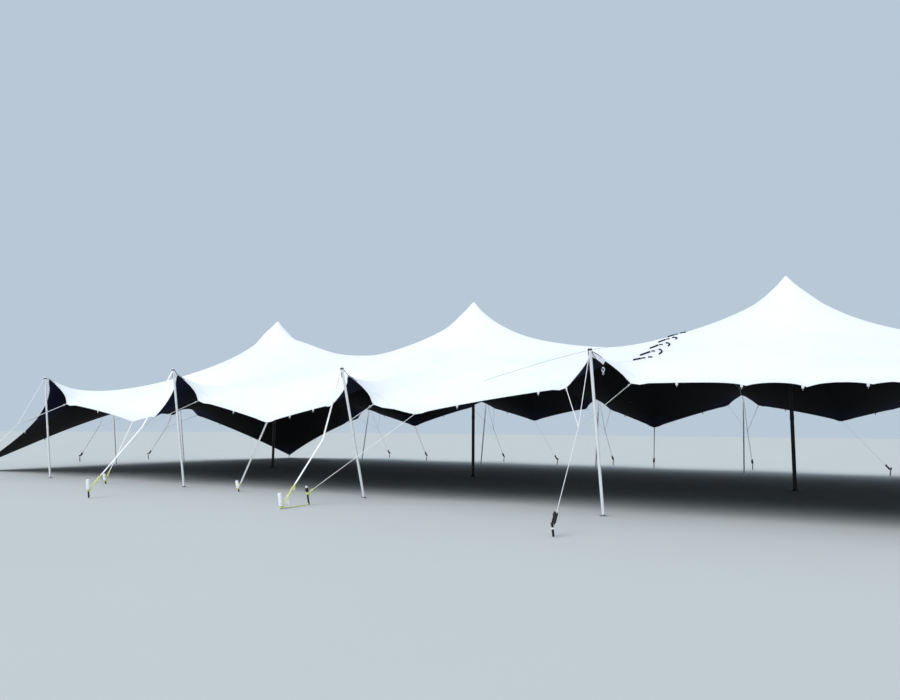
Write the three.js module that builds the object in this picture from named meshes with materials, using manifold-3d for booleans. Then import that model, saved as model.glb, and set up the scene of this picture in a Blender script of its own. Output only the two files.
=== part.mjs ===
// Stretch tent: two elastic canopies laced together over a row of king poles, pushed up along the rim
// by leaning side poles and pulled down between them by ratchet straps to ground stakes.
import * as THREE from 'three';
import { mergeVertices } from 'three/addons/utils/BufferGeometryUtils.js';
import Module from 'manifold-3d';

const wasm = await Module();
wasm.setup();

// Driving dimensions in millimetres. The ridge runs along X, the open front faces -Y, the ground is Z 0,
// and the foot of the middle king pole is the origin.
const KING_POLES = [
  { name: 'king_pole_1', x: -8180, height: 5300 },
  { name: 'king_pole_2', x: 0, height: 5340 },
  { name: 'king_pole_3', x: 8830, height: 5270 },
];
const SIDE_X = [-9060, -3690, 1420, 6540, 11670];
const SEAM_POLE = 3;
// Leaning poles: the foot's distance from the ridge, the lean and height of the head, and how far the tip
// of the cloth hangs below the head and inside it
const FRONT_POLES = [
  { foot: 7640, lean: 340, height: 2750, drop: 40, inset: 110 },
  { foot: 7620, lean: 480, height: 2790, drop: 140, inset: 130 },
  { foot: 7370, lean: 830, height: 2630, drop: 160, inset: 220 },
  { foot: 7640, lean: 560, height: 2760, drop: 65, inset: 110 },
  { foot: 7600, lean: 500, height: 2750, drop: 100, inset: 120 },
];
// The rear poles stand a little off the places of the front ones along the rim
const REAR_POLES = [
  { shift: -840, foot: 7600, lean: 500, height: 2480, drop: 100, inset: 120 },
  { shift: 0, foot: 7600, lean: 500, height: 2750, drop: 100, inset: 120 },
  { shift: -120, foot: 7600, lean: 500, height: 2750, drop: 55, inset: 120 },
  { shift: 100, foot: 7600, lean: 500, height: 2790, drop: 55, inset: 120 },
  { shift: 300, foot: 7600, lean: 500, height: 2750, drop: 100, inset: 120 },
];
const END_POLE = { foot: 7600, lean: 500, height: 2750, drop: 100, inset: 120 };
const LEFT_END_X = -14800;
const RIGHT_END_X = 16700;
const END_POLE_Y = 1600;

// Where the rim is held: a pair of ear points beside each pole, low points between poles, four corners.
const EAR_Y = 7670;
const FRONT_EARS = [
  [{ dx: -730, z: 1670 }, { dx: 600, z: 2030 }],
  [{ dx: -1080, z: 1690 }, { dx: 420, z: 2040 }],
  [{ dx: -650, z: 1910 }, { dx: 410, z: 1900 }],
  [{ dx: -620, z: 2140 }, { dx: 520, z: 2190 }],
  [{ dx: -650, z: 2130 }, { dx: 600, z: 1950 }],
];
const REAR_EARS = [
  [{ dx: -340, z: 1910 }, { dx: 930, z: 2100 }],
  [{ dx: -520, z: 2370 }, { dx: 560, z: 2330 }],
  [{ dx: -370, z: 2280 }, { dx: 600, z: 2230 }],
  [{ dx: -460, z: 2350 }, { dx: 540, z: 2340 }],
  [{ dx: -600, z: 2230 }, { dx: 550, z: 2230 }],
];
const END_EAR = { dx: 600, z: 1950 };
const FRONT_LOWS = [
  { x: -5880, z: 1550 },
  { x: -1220, z: 1540 },
  { x: 2710, z: 1710 },
];
const REAR_LOWS = [
  { x: -6950, z: 1560, stakeX: -6950 },
  { x: -1210, z: 1800, stakeX: -650 },
  { x: 3600, z: 1550, stakeX: 3300 },
  { x: 9710, z: 1790, stakeX: 11000 },
];
const LOW_Y = 7500;
const CORNER_X = [-13900, 15800];
const CORNER_Y = 7100;
const CORNER_Z = 120;

// Where the ear straps meet each guy, from the pole's foot line, and the ground stakes, by their feet and
// how tall they stand
const FRONT_KNOTS = [
  { dx: -260, y: 8490, z: 1440 },
  { dx: 210, y: 9000, z: 1420 },
  { dx: -220, y: 8450, z: 1200 },
  { dx: 70, y: 8980, z: 1460 },
  { dx: 150, y: 8850, z: 1430 },
];
const REAR_KNOT = { dx: 0, y: 8800, z: 1430 };
const FRONT_STAKES = [
  { dx: -600, y: 9500, tall: 330 },
  { dx: 660, y: 10470, tall: 370 },
  { dx: 30, y: 9810, tall: 280 },
  { dx: 180, y: 10290, tall: 190 },
  { dx: 300, y: 9900, tall: 240 },
];
const REAR_STAKE = { dx: 0, y: 9800, tall: 300 };
const FRONT_LOW_STAKES = [
  { x: -5980, y: 8080, tall: 250 },
  { x: -1690, y: 7800, tall: 250 },
  { x: 1400, y: 9030, tall: 350 },
];
const REAR_LOW_STAKE_Y = 8500;
const END_KNOT_REACH = 1200;
const END_STAKE_REACH = 2300;
const CORNER_STAKE_REACH = 620;
const STAKE_HEIGHT = 300;
const STAKE_R = 19;
const STAKE_LEAN = 60;
const STAKE_FOOT_Z = 8;

// Sections and fittings.
const CLOTH = 12;
const SIDE_POLE_R = 25;
const KING_POLE_R = 45;
const HEAD_R = 95;
const HEAD_TOP_R = 76;
const HEAD_TALL = 70;
const CAP_R = 120;
const FOOT_R = 60;
const KING_FOOT_R = 110;
const FOOT_TALL = 12;
const TIE_R = 8;
const TIE_BELOW_HEAD = 40;
const GUY_BELOW_HEAD = 60;
const STRAP_WIDE = 40;
const STRAP_THICK = 8;
const STRAP_POINT = 60;
const KNOT_R = 30;
const KNOT_HALF = 70;
const EYE_UP = 0.45;
const RATCHET = { wide: 60, thick: 36, long: 180, up: 110 };
const UPRIGHT_Z = 0.95;
const SEAT = 0.3;
const SEAM_GAP = 1;

// The net of the canopy: spacing of its threads, the threads between an ear and its tip, and how hard the
// threads pull. A pull of 1 is that of the plain cloth across the ridge. The rim's pulls are in millimetres,
// as the width of plain cloth that would pull as hard.
const NET_STEP = 280;
const EAR_THREADS = 4;
const EAR_REACH = 600;
const ALONG_PULL = 0.31;
const CROWN_PULL = 4;
const CROWN_REACH = 6900;
const PEAK_PULL = 18;
const PEAK_REACH = 550;
const RIDGE_PULLS = [3, 3.2, 3, 5.8];
const RIDGE_REACH = 500;
const RIM_PULL = 32000;
const EAR_RIM_PULL = 1200;
const ENTRANCE_PULL = 144000;
const ENTRANCE_BAY = 4;
const NET_START_Z = 3000;
const RELAX_STEPS = 900;
const RELAX_RATE = 1.96;
// How far the crown of the cloth stands above the relaxed net, as [place along the ridge, lift]
const CROWN_LIFTS = [
  [-9900, -160],
  [-6900, 240],
  [-4600, 130],
  [1600, -70],
  [4800, -100],
  [10400, -70],
  [12000, 220],
];
const LIFT_REACH = 1500;
const LIFT_CLEAR = 800;

const v = (x, y, z) => new THREE.Vector3(x, y, z);

// Materials
const paint = (color, roughness, metalness) =>
  new THREE.MeshStandardMaterial({ color, roughness, metalness });
const FABRIC = paint(0xf4f6f8, 0.6, 0);
const ALUMINIUM = paint(0xd9dcdf, 0.35, 0.9);
const DARK_STEEL = paint(0x2b2d30, 0.5, 0.7);
const WEBBING = paint(0xe9e9e4, 0.8, 0);

// Closed solids
function closedGeometry(geometry) {
  const bare = geometry.clone();
  bare.deleteAttribute('normal');
  bare.deleteAttribute('uv');
  const merged = mergeVertices(bare, 1e-3);
  const index = merged.index.array;
  const kept = [];
  for (let t = 0; t < index.length; t += 3) {
    const [a, b, c] = [index[t], index[t + 1], index[t + 2]];
    if (a !== b && b !== c && c !== a) kept.push(a, b, c);
  }
  merged.setIndex(kept);
  return signedVolume(merged) < 0 ? flipped(merged) : merged;
}

function signedVolume(geometry) {
  const position = geometry.attributes.position;
  const index = geometry.index.array;
  const corner = (i) => v().fromBufferAttribute(position, index[i]);
  let volume = 0;
  for (let t = 0; t < index.length; t += 3) {
    volume += corner(t).dot(corner(t + 1).cross(corner(t + 2))) / 6;
  }
  return volume;
}

function flipped(geometry) {
  const index = Array.from(geometry.index.array);
  for (let t = 0; t < index.length; t += 3) {
    [index[t + 1], index[t + 2]] = [index[t + 2], index[t + 1]];
  }
  geometry.setIndex(index);
  return geometry;
}

function toSolid(geometry) {
  const closed = closedGeometry(geometry);
  return new wasm.Manifold(new wasm.Mesh({
    numProp: 3,
    vertProperties: Float32Array.from(closed.attributes.position.array),
    triVerts: Uint32Array.from(closed.index.array),
  }));
}

function toGeometry(solid) {
  const { vertProperties, triVerts } = solid.getMesh();
  const geometry = new THREE.BufferGeometry();
  geometry.setAttribute('position', new THREE.BufferAttribute(vertProperties, 3));
  geometry.setIndex(Array.from(triVerts));
  geometry.computeVertexNormals();
  return geometry;
}

function joined(geometries) {
  const solids = geometries.map(toSolid);
  return toGeometry(solids.reduce((whole, piece) => whole.add(piece)));
}

// A bar from a to b, turned from a profile of [radius, distance along] pairs. flat squeezes it into webbing
// that lies on its wide face.
function turnedBar(a, b, profile, sides, flat = 1) {
  const along = b.clone().sub(a).normalize();
  const upright = Math.abs(along.z) > UPRIGHT_Z;
  const side = upright ? v(0, 1, 0) : v(0, 0, 1);
  const wide = along.clone().cross(side).normalize();
  const thin = wide.clone().cross(along);
  const points = profile.map(([r, t]) => new THREE.Vector2(r, t));
  const bar = new THREE.LatheGeometry(points, sides);
  bar.rotateY(Math.PI / sides);
  bar.scale(1, 1, flat);
  bar.applyMatrix4(new THREE.Matrix4().makeBasis(wide, along, thin).setPosition(a));
  return bar;
}

function rod(a, b, radius, sides) {
  const long = a.distanceTo(b);
  return turnedBar(a, b, [[0, 0], [radius, 0], [radius, long], [0, long]], sides);
}

// Webbing with a pointed end at a, as it is gathered into its ring there.
function strap(a, b) {
  const long = a.distanceTo(b);
  const half = STRAP_WIDE / Math.SQRT2;
  const profile = [[0, 0], [half, STRAP_POINT], [half, long], [0, long]];
  return turnedBar(a, b, profile, 4, STRAP_THICK / STRAP_WIDE);
}

// The form of the canopy: a net of elastic threads held at its rim and at the king poles. places are the
// poles along one side: the threads are closer between the ears of each.
function threads(from, to, places) {
  const out = [from];
  const run = (end, count) => {
    const start = out[out.length - 1];
    for (let k = 1; k <= count; k += 1) out.push(start + ((end - start) * k) / count);
  };
  const evenCount = (end) => 2 * Math.max(1, Math.round((end - out[out.length - 1]) / (2 * NET_STEP)));
  places.forEach((place) => {
    run(place - EAR_REACH, evenCount(place - EAR_REACH));
    run(place + EAR_REACH, 2 * EAR_THREADS);
  });
  run(to, evenCount(to));
  return out;
}

const nearest = (list, value) =>
  list.reduce((best, x, i) => (Math.abs(x - value) < Math.abs(list[best] - value) ? i : best), 0);

// The solid canopies take every second thread of the net, and every held point lies on one of those
const everySecond = (list) => list.filter((_, k) => k % 2 === 0);
const netX = threads(CORNER_X[0], CORNER_X[1], SIDE_X);
const netY = threads(-EAR_Y, EAR_Y, [-END_POLE_Y, END_POLE_Y]);
const columns = everySecond(netX);
const rows = everySecond(netY);
const lastColumn = columns.length - 1;
const lastRow = rows.length - 1;
const midRow = nearest(rows, 0);
const seamColumn = nearest(columns, SIDE_X[SEAM_POLE]);

// Every pole at the rim: foot and top of its axis, the stake, and the three points of cloth that it holds
function rimPoles() {
  const out = [];
  SIDE_X.forEach((place, k) => {
    [-1, 1].forEach((side) => {
      const front = side < 0;
      const pole = front ? FRONT_POLES[k] : REAR_POLES[k];
      const stake = front ? FRONT_STAKES[k] : REAR_STAKE;
      const knot = front ? FRONT_KNOTS[k] : REAR_KNOT;
      const ears = front ? FRONT_EARS[k] : REAR_EARS[k];
      const x = place + (pole.shift ?? 0);
      const topY = side * (pole.foot + pole.lean);
      out.push({
        name: `${front ? 'front' : 'rear'}_pole_${k + 1}`,
        guy: `${front ? 'front' : 'rear'}_guy_${k + 1}`,
        foot: v(x, side * pole.foot, 0),
        top: v(x, topY, pole.height),
        tip: v(x, topY - side * pole.inset, pole.height - pole.drop),
        ears: ears.map((ear) => v(x + ear.dx, side * EAR_Y, ear.z)),
        knot: v(x + knot.dx, side * knot.y, knot.z),
        stake: v(x + stake.dx, side * stake.y, 0),
        stakeTall: stake.tall,
        cells: [-1, 0, 1].map((step) => [nearest(columns, place + step * EAR_REACH), front ? 0 : lastRow]),
      });
    });
  });
  [[LEFT_END_X, 'left', 0], [RIGHT_END_X, 'right', lastColumn]].forEach(([x, end, column]) => {
    const outward = Math.sign(x);
    [-1, 1].forEach((side, k) => {
      const y = side * END_POLE_Y;
      const topX = x + outward * END_POLE.lean;
      out.push({
        name: `${end}_pole_${k + 1}`,
        guy: `${end}_guy_${k + 1}`,
        foot: v(x, y, 0),
        top: v(topX, y, END_POLE.height),
        tip: v(topX - outward * END_POLE.inset, y, END_POLE.height - END_POLE.drop),
        ears: [-1, 1].map((step) => v(x, y + step * END_EAR.dx, END_EAR.z)),
        knot: v(x + outward * END_KNOT_REACH, y, REAR_KNOT.z),
        stake: v(x + outward * END_STAKE_REACH, y, 0),
        stakeTall: STAKE_HEIGHT,
        cells: [-1, 0, 1].map((step) => [column, nearest(rows, y + step * EAR_REACH)]),
      });
    });
  });
  return out;
}

const poles = rimPoles();
const lows = [
  ...FRONT_LOWS.map((low, k) => ({
    name: `front_tie_down_${k + 1}`,
    at: v(low.x, -LOW_Y, low.z),
    stake: v(FRONT_LOW_STAKES[k].x, -FRONT_LOW_STAKES[k].y, 0),
    stakeTall: FRONT_LOW_STAKES[k].tall,
    cell: [nearest(columns, low.x), 0],
  })),
  ...REAR_LOWS.map((low, k) => ({
    name: `rear_tie_down_${k + 1}`,
    at: v(low.x, LOW_Y, low.z),
    stake: v(low.stakeX, REAR_LOW_STAKE_Y, 0),
    stakeTall: STAKE_HEIGHT,
    cell: [nearest(columns, low.x), lastRow],
  })),
];
const corners = [0, 1].flatMap((end) => [-1, 1].map((side) => {
  const at = v(CORNER_X[end], side * CORNER_Y, CORNER_Z);
  const outward = v(end ? 1 : -1, side, 0).normalize();
  const stake = at.clone().setZ(0).addScaledVector(outward, CORNER_STAKE_REACH);
  return {
    name: `corner_anchor_${end * 2 + (side > 0 ? 2 : 1)}`,
    at,
    stake,
    stakeTall: STAKE_HEIGHT,
    cell: [end ? lastColumn : 0, side < 0 ? 0 : lastRow],
  };
}));

// How hard the cloth pulls at a place: more along the crown, and most in the patch at each peak
function clothPull(x, y) {
  const peaks = KING_POLES.map((pole) => [columns[nearest(columns, pole.x)], rows[midRow]]);
  const patches = peaks.reduce(
    (sum, [px, py]) => sum + Math.exp(-((x - px) ** 2 + (y - py) ** 2) / PEAK_REACH ** 2), 0);
  return 1 + CROWN_PULL * Math.exp(-((y / CROWN_REACH) ** 2)) + PEAK_PULL * patches;
}

// The extra pull of the ridge between two king poles
function ridgePull(x, y) {
  const bay = KING_POLES.filter((pole) => pole.x < x).length;
  return 1 + RIDGE_PULLS[bay] * Math.exp(-((y / RIDGE_REACH) ** 2));
}

// The pull of the front or rear rim: slack between an ear and its tip, hardest over the entrance
function rimPull(x, front) {
  if (SIDE_X.some((pole) => Math.abs(x - pole) < EAR_REACH)) return EAR_RIM_PULL;
  const bay = SIDE_X.filter((pole) => pole < x).length;
  return front && bay === ENTRANCE_BAY ? ENTRANCE_PULL : RIM_PULL;
}

function endRimPull(y) {
  const atPole = Math.abs(Math.abs(y) - END_POLE_Y) < EAR_REACH;
  return atPole ? EAR_RIM_PULL : RIM_PULL;
}

// The lift of the crown at a place: it fades out towards the rim and the king poles
function crownLift(x, y) {
  const fade = KING_POLES.reduce(
    (part, pole) => part * (1 - Math.exp(-((x - pole.x) ** 2 + y ** 2) / LIFT_CLEAR ** 2)),
    Math.max(0, 1 - (y / EAR_Y) ** 2) ** 2);
  return CROWN_LIFTS.reduce(
    (sum, [at, lift]) => sum + fade * lift * Math.exp(-(((x - at) / LIFT_REACH) ** 2)), 0);
}

// The net after relaxing: net[i][j] is the outer face of the cloth at column i and row j
function relaxedNet() {
  const [endI, endJ] = [netX.length - 1, netY.length - 1];
  const fine = netX.map((x) => netY.map((y) => v(x, y, NET_START_Z)));
  const held = netX.map(() => netY.map(() => false));
  const hold = ([i, j], point) => {
    fine[2 * i][2 * j].copy(point);
    held[2 * i][2 * j] = true;
  };
  poles.forEach(({ ears, tip, cells }) => {
    [ears[0], tip, ears[1]].forEach((point, k) => hold(cells[k], point));
  });
  lows.forEach(({ cell, at }) => hold(cell, at));
  corners.forEach(({ cell, at }) => hold(cell, at));
  KING_POLES.forEach(({ x, height }) => hold([nearest(columns, x), midRow], v(x, 0, height)));

  const share = (list, k) => ((list[k + 1] ?? list[k]) - (list[k - 1] ?? list[k])) / 2;
  const pullAlong = (i, j) => {
    const x = (netX[i] + netX[i + 1]) / 2;
    const cloth = ALONG_PULL * clothPull(x, netY[j]) * ridgePull(x, netY[j]) * share(netY, j);
    const rim = j === 0 || j === endJ ? rimPull(x, j === 0) : 0;
    return (cloth + rim) / (netX[i + 1] - netX[i]);
  };
  const pullAcross = (i, j) => {
    const y = (netY[j] + netY[j + 1]) / 2;
    const rim = i === 0 || i === endI ? endRimPull(y) : 0;
    return (clothPull(netX[i], y) * share(netX, i) + rim) / (netY[j + 1] - netY[j]);
  };
  const links = netX.map((_, i) => netY.map((__, j) => [
    i > 0 && [fine[i - 1][j], pullAlong(i - 1, j)],
    i < endI && [fine[i + 1][j], pullAlong(i, j)],
    j > 0 && [fine[i][j - 1], pullAcross(i, j - 1)],
    j < endJ && [fine[i][j + 1], pullAcross(i, j)],
  ].filter(Boolean)));
  const place = v(0, 0, 0);
  for (let step = 0; step < RELAX_STEPS; step += 1) {
    for (let i = 0; i <= endI; i += 1) {
      for (let j = 0; j <= endJ; j += 1) {
        if (held[i][j]) continue;
        let weight = 0;
        place.set(0, 0, 0);
        links[i][j].forEach(([neighbour, pull]) => {
          place.addScaledVector(neighbour, pull);
          weight += pull;
        });
        fine[i][j].lerp(place.divideScalar(weight), RELAX_RATE);
      }
    }
  }
  fine.flat().forEach((point) => {
    point.z += crownLift(point.x, point.y);
  });
  return everySecond(fine).map(everySecond);
}

const net = relaxedNet();

// Normal of the cloth at a node of the net, pointing up and out
function clothNormal(i, j) {
  const a = net[Math.min(i + 1, lastColumn)][j].clone().sub(net[Math.max(i - 1, 0)][j]);
  const b = net[i][Math.min(j + 1, lastRow)].clone().sub(net[i][Math.max(j - 1, 0)]);
  return a.cross(b).normalize();
}

const under = (i, j) => net[i][j].clone().addScaledVector(clothNormal(i, j), -CLOTH);
const rimMiddle = ([i, j]) => net[i][j].clone().lerp(under(i, j), 0.5);

// One canopy: the net from one column to another as a closed sheet, flat over each king pole's head
function canopyGeometry(from, to, trimFrom, trimTo) {
  const positions = [];
  const index = [];
  const add = (point) => positions.push(point.x, point.y, point.z) / 3 - 1;
  const trimmed = (point, i) => {
    const shift = i === from ? trimFrom : i === to ? trimTo : 0;
    return point.clone().add(v(shift, 0, 0));
  };
  const top = [];
  const bottom = [];
  for (let i = from; i <= to; i += 1) {
    top[i] = rows.map((_, j) => add(trimmed(net[i][j], i)));
    bottom[i] = rows.map((_, j) => add(trimmed(under(i, j), i)));
  }
  const quad = (a, b, c, d) => index.push(a, b, c, a, c, d);
  const flat = new Map(KING_POLES.map(({ x }) => [`${nearest(columns, x)},${midRow}`, x]));
  const nearFlat = (i, j) => [[i, j], [i + 1, j], [i, j + 1], [i + 1, j + 1]]
    .some(([a, b]) => flat.has(`${a},${b}`));
  for (let i = from; i < to; i += 1) {
    for (let j = 0; j < lastRow; j += 1) {
      if (nearFlat(i, j)) continue;
      if ((i + j) % 2) {
        quad(top[i][j], top[i + 1][j], top[i + 1][j + 1], top[i][j + 1]);
        quad(bottom[i][j], bottom[i][j + 1], bottom[i + 1][j + 1], bottom[i + 1][j]);
      } else {
        quad(top[i + 1][j], top[i + 1][j + 1], top[i][j + 1], top[i][j]);
        quad(bottom[i][j + 1], bottom[i + 1][j + 1], bottom[i + 1][j], bottom[i][j]);
      }
    }
  }
  // the flat cap over each king pole inside this canopy, and the cone of cloth round it
  KING_POLES.forEach(({ x, height }) => {
    const c = nearest(columns, x);
    if (c <= from || c >= to) return;
    const around = [[-1, -1], [0, -1], [1, -1], [1, 0], [1, 1], [0, 1], [-1, 1], [-1, 0]];
    [[top, 0, 1], [bottom, CLOTH, -1]].forEach(([layer, drop, facing]) => {
      const centre = v(x, 0, height - drop);
      const hub = add(centre);
      const outer = around.map(([a, b]) => layer[c + a][midRow + b]);
      const ring = outer.map((k) => {
        const away = v(positions[3 * k] - x, positions[3 * k + 1], 0).normalize();
        return add(centre.clone().addScaledVector(away, CAP_R));
      });
      for (let k = 0; k < around.length; k += 1) {
        const next = (k + 1) % around.length;
        if (facing > 0) {
          index.push(hub, ring[k], ring[next]);
          quad(ring[k], outer[k], outer[next], ring[next]);
        } else {
          index.push(hub, ring[next], ring[k]);
          quad(ring[next], outer[next], outer[k], ring[k]);
        }
      }
    });
  });
  for (let i = from; i < to; i += 1) {
    quad(top[i][0], bottom[i][0], bottom[i + 1][0], top[i + 1][0]);
    quad(top[i + 1][lastRow], bottom[i + 1][lastRow], bottom[i][lastRow], top[i][lastRow]);
  }
  for (let j = 0; j < lastRow; j += 1) {
    quad(top[from][j + 1], bottom[from][j + 1], bottom[from][j], top[from][j]);
    quad(top[to][j], bottom[to][j], bottom[to][j + 1], top[to][j + 1]);
  }
  const geometry = new THREE.BufferGeometry();
  geometry.setAttribute('position', new THREE.Float32BufferAttribute(positions, 3));
  geometry.setIndex(index);
  const used = geometry.toNonIndexed();
  return closedGeometry(used);
}

// A king pole: foot plate, mast and the round head that carries the cloth
function kingPoleGeometry({ x, height }) {
  const headTop = height - CLOTH - SEAT;
  const profile = [
    [0, 0],
    [KING_FOOT_R, 0],
    [KING_FOOT_R, FOOT_TALL],
    [KING_POLE_R, FOOT_TALL],
    [KING_POLE_R, headTop - HEAD_TALL],
    [HEAD_R, headTop - HEAD_TALL / 2],
    [HEAD_R, headTop - HEAD_TALL / 4],
    [HEAD_TOP_R, headTop],
    [0, headTop],
  ];
  return closedGeometry(turnedBar(v(x, 0, 0), v(x, 0, height), profile, 16));
}

// A leaning rim pole: foot disc, tube, and the short tie at its head that reaches the tip of the cloth
function rimPoleGeometry(pole) {
  const foot = rod(pole.foot, pole.foot.clone().setZ(FOOT_TALL), FOOT_R, 12);
  const tube = rod(pole.foot.clone().setZ(FOOT_TALL / 2), pole.top, SIDE_POLE_R, 12);
  const tip = rimMiddle(pole.cells[1]);
  const axis = pole.top.clone().sub(pole.foot).normalize();
  const from = pole.top.clone().addScaledVector(axis, -TIE_BELOW_HEAD);
  const towards = from.clone().sub(tip).normalize();
  const start = tip.clone().addScaledVector(towards, SEAT);
  const long = start.distanceTo(from);
  const tie = turnedBar(start, from, [[0, 0], [TIE_R, 2 * TIE_R], [TIE_R, long], [0, long]], 6);
  return joined([foot, tube, tie]);
}

// A stake in the ground, leaning away from its strap, with the strap's lower end and ratchet
function stakePieces(at, tall, pullFrom) {
  const away = at.clone().sub(pullFrom).setZ(0).normalize();
  const foot = at.clone().setZ(STAKE_FOOT_Z);
  const top = at.clone().addScaledVector(away, STAKE_LEAN).setZ(tall);
  return { rods: [rod(foot, top, STAKE_R, 8)], eye: foot.clone().lerp(top, EYE_UP) };
}

function ratchetOn(a, b) {
  const along = a.clone().sub(b).normalize();
  const low = b.clone().addScaledVector(along, RATCHET.up);
  const high = low.clone().addScaledVector(along, RATCHET.long);
  const profile = [[0, 0], [1, 0], [1, RATCHET.long], [0, RATCHET.long]]
    .map(([r, t]) => [(r * RATCHET.wide) / Math.SQRT2, t]);
  return turnedBar(low, high, profile, 4, RATCHET.thick / RATCHET.wide);
}

// A pole's guy: one strap from the pole head to the stake, drawn in at the knot by a strap from each ear
function guyGeometry(pole) {
  const { rods, eye } = stakePieces(pole.stake, pole.stakeTall, pole.top);
  const axis = pole.top.clone().sub(pole.foot).normalize();
  const head = pole.top.clone().addScaledVector(axis, -GUY_BELOW_HEAD);
  const { knot } = pole;
  const pull = knot.clone().sub(head);
  const across = pull.addScaledVector(axis, -pull.dot(axis)).normalize();
  const start = head.clone().addScaledVector(across, SIDE_POLE_R + SEAT);
  const ears = [pole.cells[0], pole.cells[2]].map((cell) => {
    const ear = rimMiddle(cell);
    const away = knot.clone().sub(ear).normalize();
    return strap(ear.addScaledVector(away, SEAT), knot);
  });
  const down = eye.clone().sub(knot).normalize();
  const ends = [-KNOT_HALF, KNOT_HALF].map((along) => knot.clone().addScaledVector(down, along));
  const pieces = [strap(start, knot), strap(knot, eye), rod(ends[0], ends[1], KNOT_R, 8), ...ears];
  return joined([...rods, ...pieces, ratchetOn(knot, eye)]);
}

// A strap from one point of the rim to its own stake
function tieDownGeometry({ cell, stake, stakeTall }, withRatchet) {
  const rim = rimMiddle(cell);
  const { rods, eye } = stakePieces(stake, stakeTall, rim);
  const away = eye.clone().sub(rim).normalize();
  const start = rim.addScaledVector(away, SEAT);
  const pieces = [...rods, strap(start, eye)];
  if (withRatchet) pieces.push(ratchetOn(start, eye));
  return joined(pieces);
}

// Assembly
const tent = new THREE.Group();
function place(name, geometry, material) {
  const mesh = new THREE.Mesh(geometry, material);
  mesh.name = name;
  tent.add(mesh);
}

place('canopy_west', canopyGeometry(0, seamColumn, 0, -SEAM_GAP / 2), FABRIC);
place('canopy_east', canopyGeometry(seamColumn, lastColumn, SEAM_GAP / 2, 0), FABRIC);
KING_POLES.forEach((pole) => place(pole.name, kingPoleGeometry(pole), DARK_STEEL));
poles.forEach((pole) => place(pole.name, rimPoleGeometry(pole), ALUMINIUM));
poles.forEach((pole) => place(pole.guy, guyGeometry(pole), WEBBING));
lows.forEach((low) => place(low.name, tieDownGeometry(low, true), WEBBING));
corners.forEach((corner) => place(corner.name, tieDownGeometry(corner, false), WEBBING));

export default tent;
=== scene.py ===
"""Dresses the stretch tent: two laced elastic canopies over three masts, with leaning rim poles, webbing guys
with ratchets, and ground stakes. All sizes are in metres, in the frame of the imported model."""

import math

import bpy
import numpy as np
from bpy.props import FloatProperty, FloatVectorProperty, PointerProperty
from bpy.types import Operator, Panel, PropertyGroup
from mathutils import Matrix, Vector


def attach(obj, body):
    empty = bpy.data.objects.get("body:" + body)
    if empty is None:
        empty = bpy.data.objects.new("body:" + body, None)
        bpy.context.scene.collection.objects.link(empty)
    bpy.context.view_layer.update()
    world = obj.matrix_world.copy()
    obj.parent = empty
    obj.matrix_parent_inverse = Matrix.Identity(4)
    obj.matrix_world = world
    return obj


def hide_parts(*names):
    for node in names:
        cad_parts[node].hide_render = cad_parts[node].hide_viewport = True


bl_info = {
    "name": "Stretch tent",
    "version": (1, 0, 0),
    "blender": (4, 5, 0),
    "location": "View3D > Sidebar > Tent",
    "description": "Makes a laced stretch tent with its masts, rim poles, webbing, ratchets and stakes",
    "category": "Object",
}

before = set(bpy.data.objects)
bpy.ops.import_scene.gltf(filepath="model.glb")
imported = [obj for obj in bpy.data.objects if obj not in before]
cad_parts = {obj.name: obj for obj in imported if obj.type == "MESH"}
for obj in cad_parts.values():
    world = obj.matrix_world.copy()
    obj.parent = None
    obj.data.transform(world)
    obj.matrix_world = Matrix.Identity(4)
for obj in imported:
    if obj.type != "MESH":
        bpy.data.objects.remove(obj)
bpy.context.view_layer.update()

# Where the tent stands and where its cloth is held. The ridge runs along X, the open front faces -Y, and
# the middle mast's foot is the origin. Each mast is its place along the ridge and its height.
MASTS = [(-8.18, 5.30), (0.0, 5.34), (8.83, 5.27)]
SIDE_X = [-9.06, -3.69, 1.42, 6.54, 11.67]
SEAM_POLE = 3
# Rim poles: the foot's distance from the ridge, the lean and height of the head, and how far the cloth's tip
# hangs below the head and inside it
PLAIN_POLE = (7.60, 0.50, 2.75, 0.10, 0.12)
FRONT_POLES = [(7.64, 0.34, 2.75, 0.04, 0.11), (7.62, 0.48, 2.79, 0.14, 0.13), (7.37, 0.83, 2.63, 0.16, 0.22),
               (7.64, 0.56, 2.76, 0.065, 0.11), PLAIN_POLE]
REAR_POLES = [(7.60, 0.50, 2.48, 0.10, 0.12), PLAIN_POLE, (7.60, 0.50, 2.75, 0.055, 0.12),
              (7.60, 0.50, 2.79, 0.055, 0.12), PLAIN_POLE]
# How far each pole stands along the rim from its place
FRONT_SHIFTS = [0.0] * 5
REAR_SHIFTS = [-0.84, 0.0, -0.12, 0.10, 0.30]
END_X = (-14.8, 16.7)
END_POLE_Y = 1.6
# The two ears beside each pole, as a step along the rim and a height
EAR_Y = 7.67
EAR_REACH = 0.6
FRONT_EARS = [[(-0.73, 1.67), (0.60, 2.03)], [(-1.08, 1.69), (0.42, 2.04)], [(-0.65, 1.91), (0.41, 1.90)],
              [(-0.62, 2.14), (0.52, 2.19)], [(-0.65, 2.13), (0.60, 1.95)]]
REAR_EARS = [[(-0.34, 1.91), (0.93, 2.10)], [(-0.52, 2.37), (0.56, 2.33)], [(-0.37, 2.28), (0.60, 2.23)],
             [(-0.46, 2.35), (0.54, 2.34)], [(-0.60, 2.23), (0.55, 2.23)]]
END_EAR_Z = 1.95
LOW_Y = 7.5
FRONT_LOWS = [(-5.88, 1.55), (-1.22, 1.54), (2.71, 1.71)]
REAR_LOWS = [(-6.95, 1.56), (-1.21, 1.80), (3.60, 1.55), (9.71, 1.79)]
CORNER_X = (-13.9, 15.8)
CORNER_Y = 7.1
CORNER_Z = 0.12
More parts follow.
